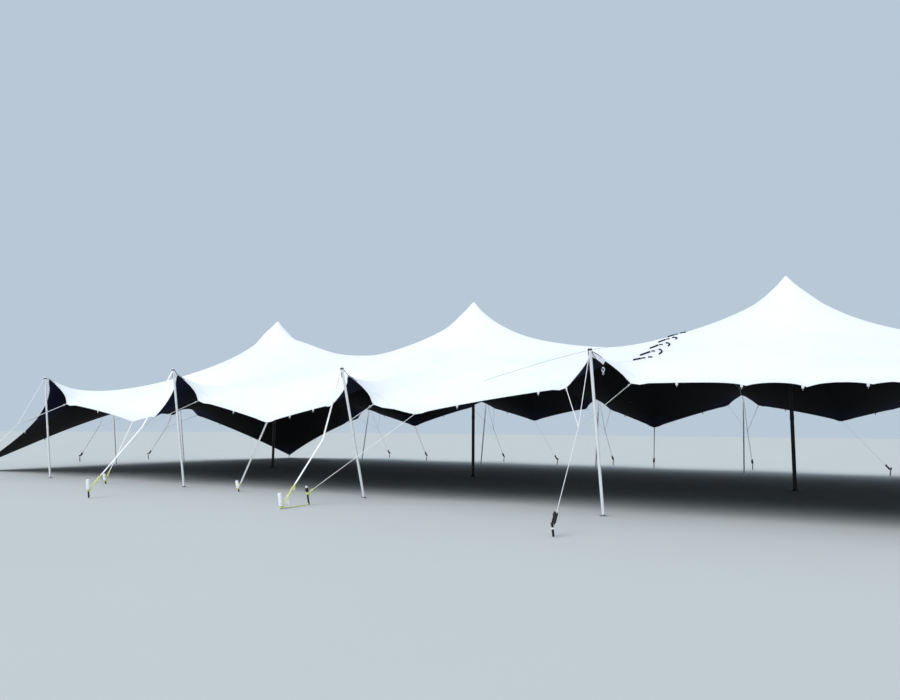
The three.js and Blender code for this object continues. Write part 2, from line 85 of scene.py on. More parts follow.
# Where the webbing from the ears meets each guy, as a step along the rim, a distance from the ridge and a
# height, and the stakes by their feet and how tall they stand
FRONT_KNOTS = [(-0.26, 8.49, 1.44), (0.21, 9.00, 1.42), (-0.22, 8.45, 1.20), (0.07, 8.98, 1.46),
               (0.15, 8.85, 1.43)]
REAR_KNOTS = [(0.0, 8.8, 1.43)] * 5
FRONT_STAKES = [(-0.60, 9.50, 0.33), (0.66, 10.47, 0.37), (0.03, 9.81, 0.28), (0.18, 10.29, 0.19),
                (0.30, 9.90, 0.24)]
STAKE_HEIGHT = 0.30
REAR_STAKES = [(0.0, 9.8, STAKE_HEIGHT)] * 5
FRONT_LOW_STAKES = [(-5.98, 8.08, 0.25), (-1.69, 7.80, 0.25), (1.40, 9.03, 0.35)]
REAR_LOW_STAKES = [(x, 8.5, STAKE_HEIGHT) for x in (-6.95, -0.65, 3.30, 11.00)]
END_KNOT_REACH = 1.2
END_KNOT_Z = 1.43
END_STAKE_REACH = 2.3
CORNER_STAKE_REACH = 0.62

# How each line ends at its stake: the rope's length or 0 where a ratchet sits there, the length of the
# stake's white sleeve, and how far the webbing is turned on edge, in degrees
OTHER_END = (0, 0.03, 30)
CORNER_END = (0.10, 0.04, 0)
FRONT_ENDS = [(0.45, 0.18, 0), (0.46, 0.20, 0), (0.60, 0.23, 0), (0, 0, 58), (0, 0, 58)]
REAR_ENDS = [OTHER_END] * 5
FRONT_LOW_ENDS = [(0.26, 0.15, 0), (0.12, 0.17, 65), (0.14, 0.04, 0)]
REAR_LOW_ENDS = [OTHER_END] * 4

# The net that gives the cloth its form: spacing and pulls of its threads
NET_STEP = 0.28
ALONG_PULL = 0.31
CROWN_PULL, CROWN_REACH = 4.0, 6.9
PEAK_PULL, PEAK_REACH = 18.0, 0.55
RIDGE_PULLS = [3.0, 3.2, 3.0, 5.8]
RIDGE_REACH = 0.5
RIM_PULL, EAR_RIM_PULL, ENTRANCE_PULL = 32.0, 1.2, 144.0
ENTRANCE_BAY = 4
NET_START_Z = 3.0
RELAX_STEPS = 900
RELAX_RATE = 1.96
# How far the crown of the cloth stands above the relaxed net, as (place along the ridge, lift)
CROWN_LIFTS = [(-9.9, -0.16), (-6.9, 0.24), (-4.6, 0.13), (1.6, -0.07), (4.8, -0.10), (10.4, -0.07),
               (12.0, 0.22)]
LIFT_REACH, LIFT_CLEAR = 1.5, 0.8
# The cone of cloth on a mast: its slope, the radius of its rounded top, how it flares, how far it stands over
# the mast, and the distances from the mast where it begins to pass into the net and where it ends
CONE_SLOPE, CONE_ROUND, CONE_FLARE, CONE_RISE = 1.5, 0.035, 0.9, 0.015
CONE_FULL, CONE_ENDS = 0.32, 0.85
# Where the fine cloth has more lines than two to a thread: the reach, and the count of lines to a thread
PEAK_LINES, TAB_LINES = (0.45, 12), (0.3, 6)

# The tabs that draw the hem over the entrance down between them, as (place along the rim, depth)
ENTRANCE_TABS = [(8.82, 0.062), (9.66, 0.088), (10.49, 0.050)]
TAB_REACH, TAB_DEEP = 0.20, 0.30
# Loops with rings along the rest of the hem, by their places along the rim
FRONT_LOOPS = [-10.9, -7.4, -2.24, -0.66, 0.14, 3.54, 5.35, 7.86, 13.2]
REAR_LOOPS = [-12.1, -8.2, -5.4, -2.5, 0.3, 2.6, 5.2, 8.1, 10.6, 13.4]
END_LOOPS = [-5.2, -3.4, 0.0, 3.4, 5.2]
# Creases that the low straps draw into the cloth, from the rim up to a place, with their depth
CREASES = [((2.71, -7.5), (5.20, -2.9), 0.022), ((-1.22, -7.5), (-0.2, -3.6), 0.015),
           ((-5.88, -7.5), (-6.9, -3.8), 0.015), ((-6.95, 7.5), (-7.6, 3.8), 0.015),
           ((-1.21, 7.5), (-0.3, 3.8), 0.015), ((3.60, 7.5), (4.9, 3.6), 0.018),
           ((9.71, 7.5), (9.2, 3.8), 0.015)]
CREASE_WIDE = 0.16
# The shares of a crease's length over which it deepens from the rim and fades out
CREASE_DEEPENS, CREASE_FADES = (-0.05, 0.12), (0.75, 1.1)
# The seam's line as it lies on the cloth, as (distance from the ridge, step along the ridge), and the rows of
# its lacing by their distances from the ridge. Each row is a loop of black cord that shows in three lengths.
SEAM_LINE = [(0.0, -0.40), (1.55, -0.26), (3.20, -0.14), (4.40, -0.02), (5.49, 0.12), (6.44, 0.25),
             (7.05, 0.13), (7.67, 0.0)]
SEAM_SHIFTS_WITHIN = 1.5
SEAM_GAP = 0.0005
LACE_ROWS = [-6.44, -5.49, -4.40, -3.20, -1.55, 0.0, 1.55, 3.20, 4.40, 5.49, 6.44]
LACE_SHOWS = [
    [(-0.10, -0.47), (-0.075, -0.28), (-0.045, -0.08)],
    [(-0.038, 0.035), (0.038, -0.035)],
    [(0.07, 0.17), (0.15, 0.04), (0.235, -0.19), (0.265, -0.32), (0.285, -0.51)],
]
LACE_OUTER_SHOWS = [
    [(-0.07, -0.256), (-0.024, -0.09)],
    [(-0.023, -0.026), (0.025, 0.03)],
    [(0.063, 0.109), (0.129, 0.104)],
]
LACE_RADII = [0.018, 0.014, 0.015]
# How far the ends of a lace or a welt dip into the cloth that they lie on, and how far a cord's middle lies off
# the cloth, as a share of its radius
DIP = np.array((0, 0, 0.02))
CORD_OFF_CLOTH = 0.8
# The welded seam between two panels of the west canopy, drawn grey as painted shade of the crease along it, as it
# runs over the front slope, by places along and across the cloth
PANEL_SEAM = [(3.23, -6.45), (3.49, -6.11), (3.75, -5.55), (3.94, -5.01), (4.15, -4.25), (4.31, -3.57),
              (4.42, -2.65), (4.62, -1.40), (4.70, 0.0)]
PANEL_SEAM_RADIUS = 0.007
PANEL_SEAM_STEPS, PANEL_SEAM_SMOOTH = 121, 7
# The white flap under the hem beside the seam pole's tip: its two ends along the rim, and its depth
FLAP_SPAN = (0.01, 0.17)
FLAP_DEEP, FLAP_BELOW = 0.075, 0.005

# The largest angles between faces that are still shaded as one surface, in degrees
SMOOTH_CLOTH, SMOOTH_PIECES = 60, 35
UP = Vector((0, 0, 1))
QUARTER, TURN = math.pi / 2, 2 * math.pi


# Plain helpers

def linear(hex_colour):
    """A screen colour in the light values that shaders take."""
    channels = [(hex_colour >> shift & 255) / 255 for shift in (16, 8, 0)]
    return [c / 12.92 if c <= 0.04045 else ((c + 0.055) / 1.055) ** 2.4 for c in channels]


def paint(hex_colour):
    return (*linear(hex_colour), 1.0)


def shade(colour, share=1.0):
    """A colour of the panel, darker by a share, as shaders take it."""
    return (*[c * share for c in colour], 1.0)


def nearest(places, value):
    return int(np.argmin(np.abs(np.asarray(places) - value)))


# Shader trees

class Value:
    """A number or colour in a shader tree. Sums, differences and products of values make their own nodes."""

    def __init__(self, tree, socket):
        self.tree, self.socket = tree, socket

    def maths(self, operation, other=0.0, last=False):
        pair = {0: other, 1: self} if last else {0: self, 1: other}
        return add(self.tree, "ShaderNodeMath", pair, operation=operation)

    def __add__(self, other):
        return self.maths("ADD", other)

    def __sub__(self, other):
        return self.maths("SUBTRACT", other)

    def __rsub__(self, other):
        return self.maths("SUBTRACT", other, True)

    def __mul__(self, other):
        return self.maths("MULTIPLY", other)

    def step(self, low, high, smooth="SMOOTHSTEP"):
        """0 below low, 1 above high."""
        inputs = {"Value": self, "From Min": low, "From Max": high}
        return add(self.tree, "ShaderNodeMapRange", inputs, interpolation_type=smooth, clamp=True)

    def blend(self, one, other):
        """One colour where the value is 0, and the other where it is 1."""
        return add(self.tree, "ShaderNodeMix", {0: self, 6: one, 7: other}, 2, data_type="RGBA")


def add(tree, kind, inputs=None, output=0, **settings):
    """Adds a node with its settings, sets or links its inputs, and gives one of its outputs."""
    node = tree.nodes.new(kind)
    for name, value in settings.items():
        setattr(node, name, value)
    for socket, value in (inputs or {}).items():
        if isinstance(value, Value):
            tree.links.new(value.socket, node.inputs[socket])
        else:
            node.inputs[socket].default_value = value
    return Value(tree, node.outputs[output])


class Look:
    """A material's tree and shader while its look is built."""

    def __init__(self, made):
        self.tree = made.node_tree
        self.shader = self.tree.nodes["Principled BSDF"]

    def noise(self, size, detail=2.0, rough=0.5, stretch=(1, 1, 1)):
        """Soft random patches about as wide as size, from 0 to 1."""
        place = add(self.tree, "ShaderNodeTexCoord", output="Object")
        place = add(self.tree, "ShaderNodeMapping", {"Vector": place, "Scale": stretch}, "Vector")
        inputs = {"Vector": place, "Scale": 1 / size, "Detail": detail, "Roughness": rough}
        return add(self.tree, "ShaderNodeTexNoise", inputs, "Fac")

    def attribute(self, name):
        return add(self.tree, "ShaderNodeAttribute", output="Fac", attribute_name=name)

    def strap_places(self):
        """Metres across and along a strap or rope, from its own UV map."""
        place = add(self.tree, "ShaderNodeTexCoord", output="UV")
        return [add(self.tree, "ShaderNodeSeparateXYZ", {0: place}, axis) for axis in (0, 1)]

    def show(self, value, socket="Base Color"):
        self.tree.links.new(value.socket, self.shader.inputs[socket])

    def bump(self, height, strength):
        inputs = {"Height": height, "Strength": strength, "Distance": 1.0}
        self.show(add(self.tree, "ShaderNodeBump", inputs, "Normal"), "Normal")


def finish(name, plain):
    """Turns a function that builds a look into one that gives the material of that name, made on first use. Its
    plain values are set on the shader itself."""
    def wrap(build):
        def material():
            made = bpy.data.materials.get(name)
            if not made:
                made = bpy.data.materials.new(name)
                made.use_nodes = True
                look = Look(made)
                for socket, value in plain.items():
                    look.shader.inputs[socket].default_value = value
                build(look)
            return made
        return material
    return wrap


# Finishes

# A real knit row is 1 mm: drawn at 8 mm so that it shows from close by
KNIT_ROW = 0.008
RIPPLE_STRETCH = (0.35, 1, 1)


def stitching(look):
    """The stitching of hem and patches as a mask, with the distances to the rim and to a patch."""
    rim, patch = look.attribute("rim"), look.attribute("patch")
    rows = None
    for distance, at in ((rim, 0.012), (rim, 0.048), (patch, 0.30), (patch, 0.325)):
        row = 1.0 - (distance - at).maths("ABSOLUTE").step(0.0015, 0.004)
        rows = row if rows is None else rows.maths("MAXIMUM", row)
    return rows, rim, patch


@finish("coated_stretch_knit_white",
        {"Roughness": 0.55, "Sheen Weight": 0.15, "Sheen Roughness": 0.5, "Specular IOR Level": 0.35})
def outer_knit(look):
    # Polyester stretch knit with a matt waterproof coating: bright white, even, with a soft broad sheen
    rows, rim, patch = stitching(look)
    white = bpy.context.scene.tent_cloth.outer
    tone = look.noise(2.6, 3.0).step(0.35, 0.75).blend(shade(white), shade(white, 0.93))
    # rain leaves a faint grey at the low hem, and the thread sits in its own shade
    wet = look.noise(0.35, 4.0) * rim.step(0.35, 0.0, "LINEAR")
    tone = (wet * 0.35).blend(tone, paint(0xD2D7DC))
    look.show((rows * 0.35).blend(tone, paint(0xAEB4BB)))
    knit, ripple = look.noise(KNIT_ROW, 1.0), look.noise(0.5, 2.0, stretch=RIPPLE_STRETCH)
    layer, hem = 1.0 - patch.step(0.33, 0.34), 1.0 - rim.step(0.055, 0.06)
    height = knit * 0.0012 + ripple * 0.010 + layer.maths("MAXIMUM", hem) * 0.0015
    look.bump(height - rows * 0.0015, 0.6)


@finish("dyed_stretch_knit_black",
        {"Roughness": 0.95, "Sheen Weight": 0.03, "Sheen Roughness": 0.6, "Specular IOR Level": 0.06})
def inner_knit(look):
    # The knit's dark dyed inner face: nearly black and dead matt, with painted light in navy where it is
    # stretched thin near the held points
    rows, _, patch = stitching(look)
    black = bpy.context.scene.tent_cloth.inner
    tone = look.noise(1.4, 4.0).blend(shade(black), shade(black, 1.8))
    # painted light: close to the held points the daylight through the stretched knit is painted in as navy
    tone = (patch.step(1.1, 0.35, "LINEAR") * 0.65).blend(tone, paint(0x1E2046))
    look.show((rows * 0.5).blend(tone, paint(0x2A2D38)))
    ripple = look.noise(0.4, 2.0, stretch=RIPPLE_STRETCH)
    look.bump(look.noise(KNIT_ROW, 1.0) * 0.0010 + ripple * 0.012, 0.5)


@finish("grey_welt_painted_crease_shade", {"Roughness": 0.45})
def seam_welt_painted_shade(look):
    # Polyurethane tape, heat welded over a panel seam, thin, with a soft gloss; its grey is painted shade that
    # stands for the shade line of the crease there
    look.show(look.noise(0.25, 4.0).blend(paint(0xA6ACB3), paint(0xC8CCD1)))


@finish("extruded_aluminium", {"Metallic": 0.2, "Roughness": 0.42})
def extruded_aluminium(look):
    # Extruded aluminium tube, mill finish gone dull: nearly white in daylight, with fine lines along the tube
    grain = look.noise(0.25, 3.0, stretch=(60, 60, 1))
    pale = bpy.context.scene.tent_poles.tube_colour
    look.show(grain.blend(shade(pale), shade(pale, 0.85)))
    look.show(grain.step(-0.6, 1.6, "LINEAR"), "Roughness")
    look.bump(grain * 0.0004, 0.4)


@finish("powder_coated_steel", {"Roughness": 0.45})
def powder_coat(look):
    # Steel tube with a dark sprayed powder coat: satin, scuffed to grey by handling, pebbled every 4 mm
    scuff = look.noise(0.05, 6.0, 0.7, (1, 1, 3)).step(0.68, 0.74)
    dark = bpy.context.scene.tent_poles.mast_colour
    tone = look.noise(0.6, 3.0).blend(shade(dark), shade(dark, 1.6))
    look.show(scuff.blend(tone, paint(0x6B6E72)))
    look.bump(look.noise(0.004, 1.0) * 0.0003, 0.5)


@finish("painted_forged_steel", {"Roughness": 0.55, "Metallic": 0.3})
def black_steel(look):
    # Forged steel, painted black: dull, worn to brown metal where it is struck
    look.show(look.noise(0.03, 5.0, 0.65).step(0.6, 0.72).blend(paint(0x151618), paint(0x56524D)))
    look.bump(look.noise(0.006, 2.0) * 0.0006, 0.6)


@finish("zinc_plated_steel", {"Metallic": 1.0, "Roughness": 0.35})
def zinc_steel(look):
    # Steel ring and hook, zinc plated: light grey, with the faint crystals of the plating
    grain = look.noise(0.01, 3.0)
    look.show(grain.blend(paint(0xC9CCCF), paint(0xE6E8EA)))
    look.show(grain.step(-0.8, 2.2, "LINEAR"), "Roughness")


@finish("woven_polyester_webbing", {"Roughness": 0.65, "Sheen Weight": 0.2})
def white_webbing(look):
    # Woven polyester webbing, slightly glossy, soiled where it has lain on the grass. Its ribs of 2 mm are
    # drawn at 5 mm, with a herringbone pick every 8 mm.
    across, along = look.strap_places()
    weave = (across * (TURN / 0.005)).maths("SINE") * (along * (TURN / 0.008)).maths("SINE")
    white = bpy.context.scene.tent_straps.webbing_colour
    tone = look.noise(0.12, 4.0).step(0.45, 0.8).blend(shade(white), shade(white, 0.8))
    look.show(weave.step(0.2, 1.0).blend(tone, shade(white, 0.7)))
    look.bump(weave * 0.0006, 0.6)


@finish("laid_polypropylene_rope", {"Roughness": 0.5, "Sheen Weight": 0.1})
def laid_rope(look):
    # Polypropylene rope, yellow-green and waxy. Its three strands take one turn of the lay every 45 mm, with
    # painted shade in the grooves between them.
    across, along = look.strap_places()
    strand_relief_and_shade = (along * (3 * TURN / 0.045) + across).maths("SINE")
    green = bpy.context.scene.tent_straps.rope_colour
    # painted shade: the green darkens in the grooves between the strands
    look.show(strand_relief_and_shade.step(-0.9, 0.4).blend(shade(green, 0.55), shade(green)))
    look.bump(strand_relief_and_shade * 0.0012, 0.8)


@finish("braided_shock_cord", {"Roughness": 0.8, "Specular IOR Level": 0.2})
def braided_cord(look):
    # Elastic cord in a braided black sleeve: matt, finely ribbed
    across, along = look.strap_places()
    plait = (along * (TURN / 0.006) + across).maths("SINE")
    look.show(plait.step(-1, 1).blend(paint(0x060608), paint(0x141519)))
    look.bump(plait * 0.0004, 0.6)


@finish("moulded_white_pvc", {"Roughness": 0.35})
def moulded_plastic(look):
    # PVC, moulded white: smooth and slightly glossy, with splashes of soil
    look.show(look.noise(0.05, 4.0).step(0.5, 0.75).blend(paint(0xF0F1F1), paint(0xC9C5B8)))


@finish("moulded_rubber", {"Roughness": 0.8, "Specular IOR Level": 0.3})
def moulded_rubber(look):
    # Moulded black rubber: dull, powdered with dust
    look.show(look.noise(0.04, 4.0).step(0.4, 0.8).blend(paint(0x17181A), paint(0x3B3A37)))
    look.bump(look.noise(0.003, 1.0) * 0.0003, 0.5)


@finish("matt_floor", {"Roughness": 0.9, "Specular IOR Level": 0.1})
def matt_floor(look):
    pale = bpy.context.scene.tent_stage.floor
    look.show(look.noise(4.0, 3.0).blend(shade(pale), shade(pale, 0.94)))


# Pieces

def deselect():
    if bpy.context.object and bpy.context.object.mode != "OBJECT":
        bpy.ops.object.mode_set(mode="OBJECT")
    bpy.ops.object.select_all(action="DESELECT")


def select_only(piece):
    deselect()
    piece.select_set(True)
    bpy.context.view_layer.objects.active = piece


def settled(piece):
    """The piece with its place in its mesh and its object at the origin."""
    select_only(piece)
    bpy.ops.object.transform_apply(location=True, rotation=True, scale=True)
    return piece


def placed(piece, matrix):
    piece.data.transform(matrix)
    return piece


def in_scene(name, mesh):
    piece = bpy.data.objects.new(name, mesh)
    bpy.context.scene.collection.objects.link(piece)
    return piece


def copy_of(piece, matrix):
    return placed(in_scene(piece.name, piece.data.copy()), matrix)


def coat(piece, material):
    piece.data.materials.clear()
    piece.data.materials.append(material)
    return piece


def mesh_piece(name, points, faces, uvs=None):
    """A piece from points and faces, with a UV map in metres when uvs gives one pair per face corner."""
    mesh = bpy.data.meshes.new(name)
    mesh.from_pydata(np.asarray(points, float).tolist(), [], faces)
    if uvs is not None:
        layer = mesh.uv_layers.new(name="metres")
        layer.data.foreach_set("uv", np.asarray(uvs, np.float32).ravel())
    mesh.update()
    return in_scene(name, mesh)


def turned(profile, material, place, sides=16):
    """A round piece up the Z axis of its place, drawn from a disc by one extrude for each (radius, height)."""
    deselect()
    radius, height = profile[0]
    bpy.ops.mesh.primitive_circle_add(vertices=sides, radius=radius, fill_type="NGON", location=(0, 0, 0))
    bpy.ops.object.mode_set(mode="EDIT")
    if height:
        bpy.ops.transform.translate(value=(0, 0, height))
    for wide, high in profile[1:]:
        bpy.ops.mesh.extrude_region_move(TRANSFORM_OT_translate={"value": (0, 0, high - height)})
        if wide != radius:
            bpy.ops.transform.resize(value=(wide / radius, wide / radius, 1))
        radius, height = wide, high
    bpy.ops.mesh.select_all(action="SELECT")
    bpy.ops.mesh.normals_make_consistent(inside=False)
    bpy.ops.object.mode_set(mode="OBJECT")
    return placed(coat(bpy.context.object, material), place)


def block(size, at, bevel, material):
    """A plate or bar with its edges rounded."""
    deselect()
    bpy.ops.mesh.primitive_cube_add(size=1, location=at, scale=size)
    piece = settled(bpy.context.object)
    bpy.ops.object.mode_set(mode="EDIT")
    bpy.ops.mesh.select_all(action="SELECT")
    bpy.ops.mesh.bevel(offset=bevel, segments=2, affect="EDGES")
    bpy.ops.object.mode_set(mode="OBJECT")
    return coat(piece, material)


def ring(radius, wire, place, stretch=1.0):
    """A zinc-plated wire ring in the XY plane of its place, stretched along X."""
    deselect()
    bpy.ops.mesh.primitive_torus_add(major_radius=radius, minor_radius=wire, major_segments=20,
                                     minor_segments=8)
    piece = coat(bpy.context.object, zinc_steel())
    return placed(placed(piece, Matrix.Scale(stretch, 4, (1, 0, 0))), place)


def axes_at(point, along, side=UP):
    """A place whose Z runs along a direction, with X square to it and to side."""
    z = Vector(along).normalized()
    x = Vector(side).cross(z)
    if x.length < 1e-3:
        x = Vector((1, 0, 0)).cross(z)
    x.normalize()
    return Matrix.Translation(Vector(point)) @ Matrix((x, z.cross(x), z)).transposed().to_4x4()


def joined(name, parts, node=None):
    """Joins parts into one finished piece that rides on the tent and stands for its CAD node."""
    deselect()
    for part in parts:
        part.select_set(True)
    bpy.context.view_layer.objects.active = parts[0]
    if len(parts) > 1:
        bpy.ops.object.join()
    piece = bpy.context.object
    piece.name = piece.data.name = name
    bpy.ops.object.shade_smooth_by_angle(angle=math.radians(SMOOTH_PIECES))
    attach(piece, "root")
    if node:
        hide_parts(node)
    return piece


def unit_rows(vectors):
    return vectors / np.linalg.norm(vectors, axis=-1)[..., None]


def steady_sides(along):
    """A direction square to each step of a path that doesn't twist round it."""
    side = np.cross(along[0], (0, 0, 1.0))
    if np.linalg.norm(side) < 1e-3:
        side = np.cross(along[0], (1.0, 0, 0))
    sides = []
    for step in along:
        side = side - side.dot(step) * step
        side /= np.linalg.norm(side)
        sides.append(side)
    return np.array(sides)


def swept(path, section, material, facing=None, closed=False):
    """A section of (across, out) points drawn along a path. facing is the way that the section's across
    points, or None for a cord. The UV map is metres round the section and along the path."""
    path = np.asarray(path, float)
    count = len(path)
    along = unit_rows(np.roll(path, -1, 0) - np.roll(path, 1, 0) if closed else np.gradient(path, axis=0))
    side = np.broadcast_to(steady_sides(along) if facing is None else np.asarray(facing, float), path.shape)
    side = unit_rows(side - (side * along).sum(1)[:, None] * along)
    out = np.cross(along, side)
    section = np.asarray(section, float)
    sides = len(section)
    points = path[:, None] + section[None, :, :1] * side[:, None] + section[None, :, 1:] * out[:, None]

    def travelled(line):
        return np.append(0, np.cumsum(np.linalg.norm(np.diff(line, axis=0, append=line[:1]), axis=1)))

    travel, girth = travelled(path), travelled(section)
    faces, uvs = [], []
    for k in range(count if closed else count - 1):
        for s in range(sides):
            n, t = (k + 1) % count, (s + 1) % sides
            faces.append((k * sides + s, k * sides + t, n * sides + t, n * sides + s))
            uvs += [(girth[s], travel[k]), (girth[s + 1], travel[k]),
                    (girth[s + 1], travel[k + 1]), (girth[s], travel[k + 1])]
    if not closed:
        faces += [tuple(range(sides - 1, -1, -1)), tuple((count - 1) * sides + s for s in range(sides))]
        uvs += [(girth[s], 0) for s in range(sides)] * 2
    return coat(mesh_piece("swept", points.reshape(-1, 3), faces, uvs), material)


def cord(path, radius, material, sides=8, closed=False):
    angles = np.arange(sides) * TURN / sides
    section = np.stack([radius * np.cos(angles), radius * np.sin(angles)], 1)
    return swept(path, section, material, closed=closed)


def webbing(path, facing, wide, thick, material=None, closed=False):
    """A strap with rounded edges, whose width points the way of facing."""
    half, t = wide / 2, thick / 2
    section = [(-half, 0), (-half + t, -t), (0, -t), (half - t, -t), (half, 0), (half - t, t), (0, t),
               (-half + t, t)]
    return swept(path, section, material or white_webbing(), facing, closed)


def between(a, b, count=2):
    a, b = np.asarray(a, float), np.asarray(b, float)
    return a + (b - a) * np.linspace(0, 1, count)[:, None]


def circled(centre, one, other, radius, angles):
    """Points round a centre, from the way of one towards the way of other."""
    return [centre + (one * math.cos(a) + other * math.sin(a)) * radius for a in angles]


# The net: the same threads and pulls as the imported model's cloth

def threads(start, end, places):
    """Places of the net's threads along one side, closer together between the ears of each pole."""
    out = [start]

    def run(to, count=None):
        first = out[-1]
        count = count or 2 * max(1, round((to - first) / (2 * NET_STEP)))
        out.extend(first + (to - first) * k / count for k in range(1, count + 1))

    for place in places:
        run(place - EAR_REACH)
        run(place + EAR_REACH, 8)
    run(end)
    return np.array(out)


NET_X = threads(CORNER_X[0], CORNER_X[1], SIDE_X)
NET_Y = threads(-EAR_Y, EAR_Y, [-END_POLE_Y, END_POLE_Y])


def cell(x, y):
    """The held crossing of the net nearest to a place."""
    return 2 * nearest(NET_X[::2], x), 2 * nearest(NET_Y[::2], y)


PEAKS = [(NET_X[i], NET_Y[j]) for i, j in (cell(x, 0) for x, _ in MASTS)]


def rim_poles():
    """Every pole at the rim: its foot and head, its stake and knot, and the three points of cloth it holds."""
    out = []
    sides = (("front", -1, FRONT_SHIFTS, FRONT_POLES, FRONT_STAKES, FRONT_KNOTS, FRONT_EARS, FRONT_ENDS),
             ("rear", 1, REAR_SHIFTS, REAR_POLES, REAR_STAKES, REAR_KNOTS, REAR_EARS, REAR_ENDS))
    for k, place in enumerate(SIDE_X):
        for row, side, *lists in sides:
            shift, (foot, lean, height, drop, inset), stake, knot, ears, end = (values[k] for values in lists)
            x = place + shift
            out.append(dict(
                place=f"{row}_%s_{k + 1}", end=end, tall=stake[2],
                foot=Vector((x, side * foot, 0)),
                top=Vector((x, side * (foot + lean), height)),
                tip=Vector((x, side * (foot + lean - inset), height - drop)),
                ears=[Vector((x + dx, side * EAR_Y, z)) for dx, z in ears],
                knot=Vector((x + knot[0], side * knot[1], knot[2])),
                stake=Vector((x + stake[0], side * stake[1], 0)),
                cells=[cell(place + dx, side * EAR_Y) for dx in (-EAR_REACH, 0, EAR_REACH)]))
    _, lean, height, drop, inset = PLAIN_POLE
    for x, row, side in ((END_X[0], "left", -1), (END_X[1], "right", 1)):
        for k, y in enumerate((-END_POLE_Y, END_POLE_Y)):
            out.append(dict(
                place=f"{row}_%s_{k + 1}", end=OTHER_END, tall=STAKE_HEIGHT,
                foot=Vector((x, y, 0)),
                top=Vector((x + side * lean, y, height)),
                tip=Vector((x + side * (lean - inset), y, height - drop)),
                ears=[Vector((x, y + step, END_EAR_Z)) for step in (-EAR_REACH, EAR_REACH)],
                knot=Vector((x + side * END_KNOT_REACH, y, END_KNOT_Z)),
                stake=Vector((x + side * END_STAKE_REACH, y, 0)),
                cells=[cell(CORNER_X[side > 0], y + step) for step in (-EAR_REACH, 0, EAR_REACH)]))
    return out


def low_points():
    """The places between poles where the rim is tied down, each with its stake."""
    return [dict(node=f"{row}_tie_down_{k + 1}", name=f"{row}_low_strap_{k + 1}", end=end, tall=tall,
                 at=Vector((x, side * LOW_Y, z)), stake=Vector((at_x, side * at_y, 0)),
                 cell=cell(x, side * EAR_Y))
            for row, side, *lists in (("front", -1, FRONT_LOWS, FRONT_LOW_STAKES, FRONT_LOW_ENDS),
                                      ("rear", 1, REAR_LOWS, REAR_LOW_STAKES, REAR_LOW_ENDS))
            for k, ((x, z), (at_x, at_y, tall), end) in enumerate(zip(*lists))]


def corner_points():
    corners = []
    for x, outward in ((CORNER_X[0], -1), (CORNER_X[1], 1)):
        for side in (-1, 1):
            number = len(corners) + 1
            way = Vector((outward, side, 0)).normalized()
            corners.append(dict(
                node=f"corner_anchor_{number}", name=f"corner_strap_{number}", end=CORNER_END,
                tall=STAKE_HEIGHT, at=Vector((x, side * CORNER_Y, CORNER_Z)), cell=cell(x, side * EAR_Y),
                stake=Vector((x, side * CORNER_Y, 0)) + way * CORNER_STAKE_REACH))
    return corners


POLES = rim_poles()
LOWS = low_points()
CORNERS = corner_points()


def cloth_pull(x, y):
    patches = sum(np.exp(-((x - px) ** 2 + (y - py) ** 2) / PEAK_REACH ** 2) for px, py in PEAKS)
    return 1 + CROWN_PULL * np.exp(-((y / CROWN_REACH) ** 2)) + PEAK_PULL * patches


def ridge_pull(x, y):
    bays = np.searchsorted([mast for mast, _ in MASTS], x)
    return 1 + np.array(RIDGE_PULLS)[bays][:, None] * np.exp(-((y / RIDGE_REACH) ** 2))


def rim_pull(x, front):
    """The pull of the rim's hem: slack between an ear and its tip, and hardest over the entrance."""
    bays = np.searchsorted(SIDE_X, x)
    pull = np.where((bays == ENTRANCE_BAY) & front, ENTRANCE_PULL, RIM_PULL)
    for pole in SIDE_X:
        pull = np.where(np.abs(x - pole) < EAR_REACH, EAR_RIM_PULL, pull)
    return pull


def neighbours(along, across, values):
    """For each crossing of the net, the sum of its neighbours' values times the pulls of their threads."""
    out = np.zeros(values.shape)
    out[:-1] += along * values[1:]
    out[1:] += along * values[:-1]
    out[:, :-1] += across * values[:, 1:]
    out[:, 1:] += across * values[:, :-1]
    return out


def relaxed_net():
    """The net let go between the points that hold it."""
    columns, rows = len(NET_X), len(NET_Y)
    net = np.zeros((columns, rows, 3))
    net[..., 0], net[..., 1], net[..., 2] = NET_X[:, None], NET_Y[None, :], NET_START_Z
    held = np.zeros((columns, rows), bool)
    holds = []
    for pole in POLES:
        holds += zip(pole["cells"], (pole["ears"][0], pole["tip"], pole["ears"][1]))
    holds += [(low["cell"], low["at"]) for low in LOWS + CORNERS]
    holds += [(cell(x, 0), (x, 0, height)) for x, height in MASTS]
    for (i, j), point in holds:
        net[i, j] = point
        held[i, j] = True
    gap_x, gap_y = np.diff(NET_X), np.diff(NET_Y)
    share_x = (np.append(gap_x, 0) + np.insert(gap_x, 0, 0)) / 2
    share_y = (np.append(gap_y, 0) + np.insert(gap_y, 0, 0)) / 2
    mid_x, mid_y = (NET_X[1:] + NET_X[:-1]) / 2, (NET_Y[1:] + NET_Y[:-1]) / 2
    along = ALONG_PULL * cloth_pull(mid_x[:, None], NET_Y[None, :]) * ridge_pull(mid_x, NET_Y[None, :])
    along *= share_y
    along[:, 0] += rim_pull(mid_x, True)
    along[:, -1] += rim_pull(mid_x, False)
    along /= gap_x[:, None]
    across = cloth_pull(NET_X[:, None], mid_y[None, :]) * share_x[:, None]
    across[[0, -1]] += np.where(np.abs(np.abs(mid_y) - END_POLE_Y) < EAR_REACH, EAR_RIM_PULL, RIM_PULL)
    across /= gap_y[None, :]
    total = neighbours(along, across, np.ones((columns, rows)))
    chequer = np.add.outer(np.arange(columns), np.arange(rows)) % 2
    for _ in range(RELAX_STEPS):
        for square in (0, 1):
            drawn = neighbours(along[..., None], across[..., None], net)
            free = (chequer == square) & ~held
            net[free] += RELAX_RATE * (drawn[free] / total[free][:, None] - net[free])
    net[..., 2] += crown_lift(net[..., 0], net[..., 1])
    return net


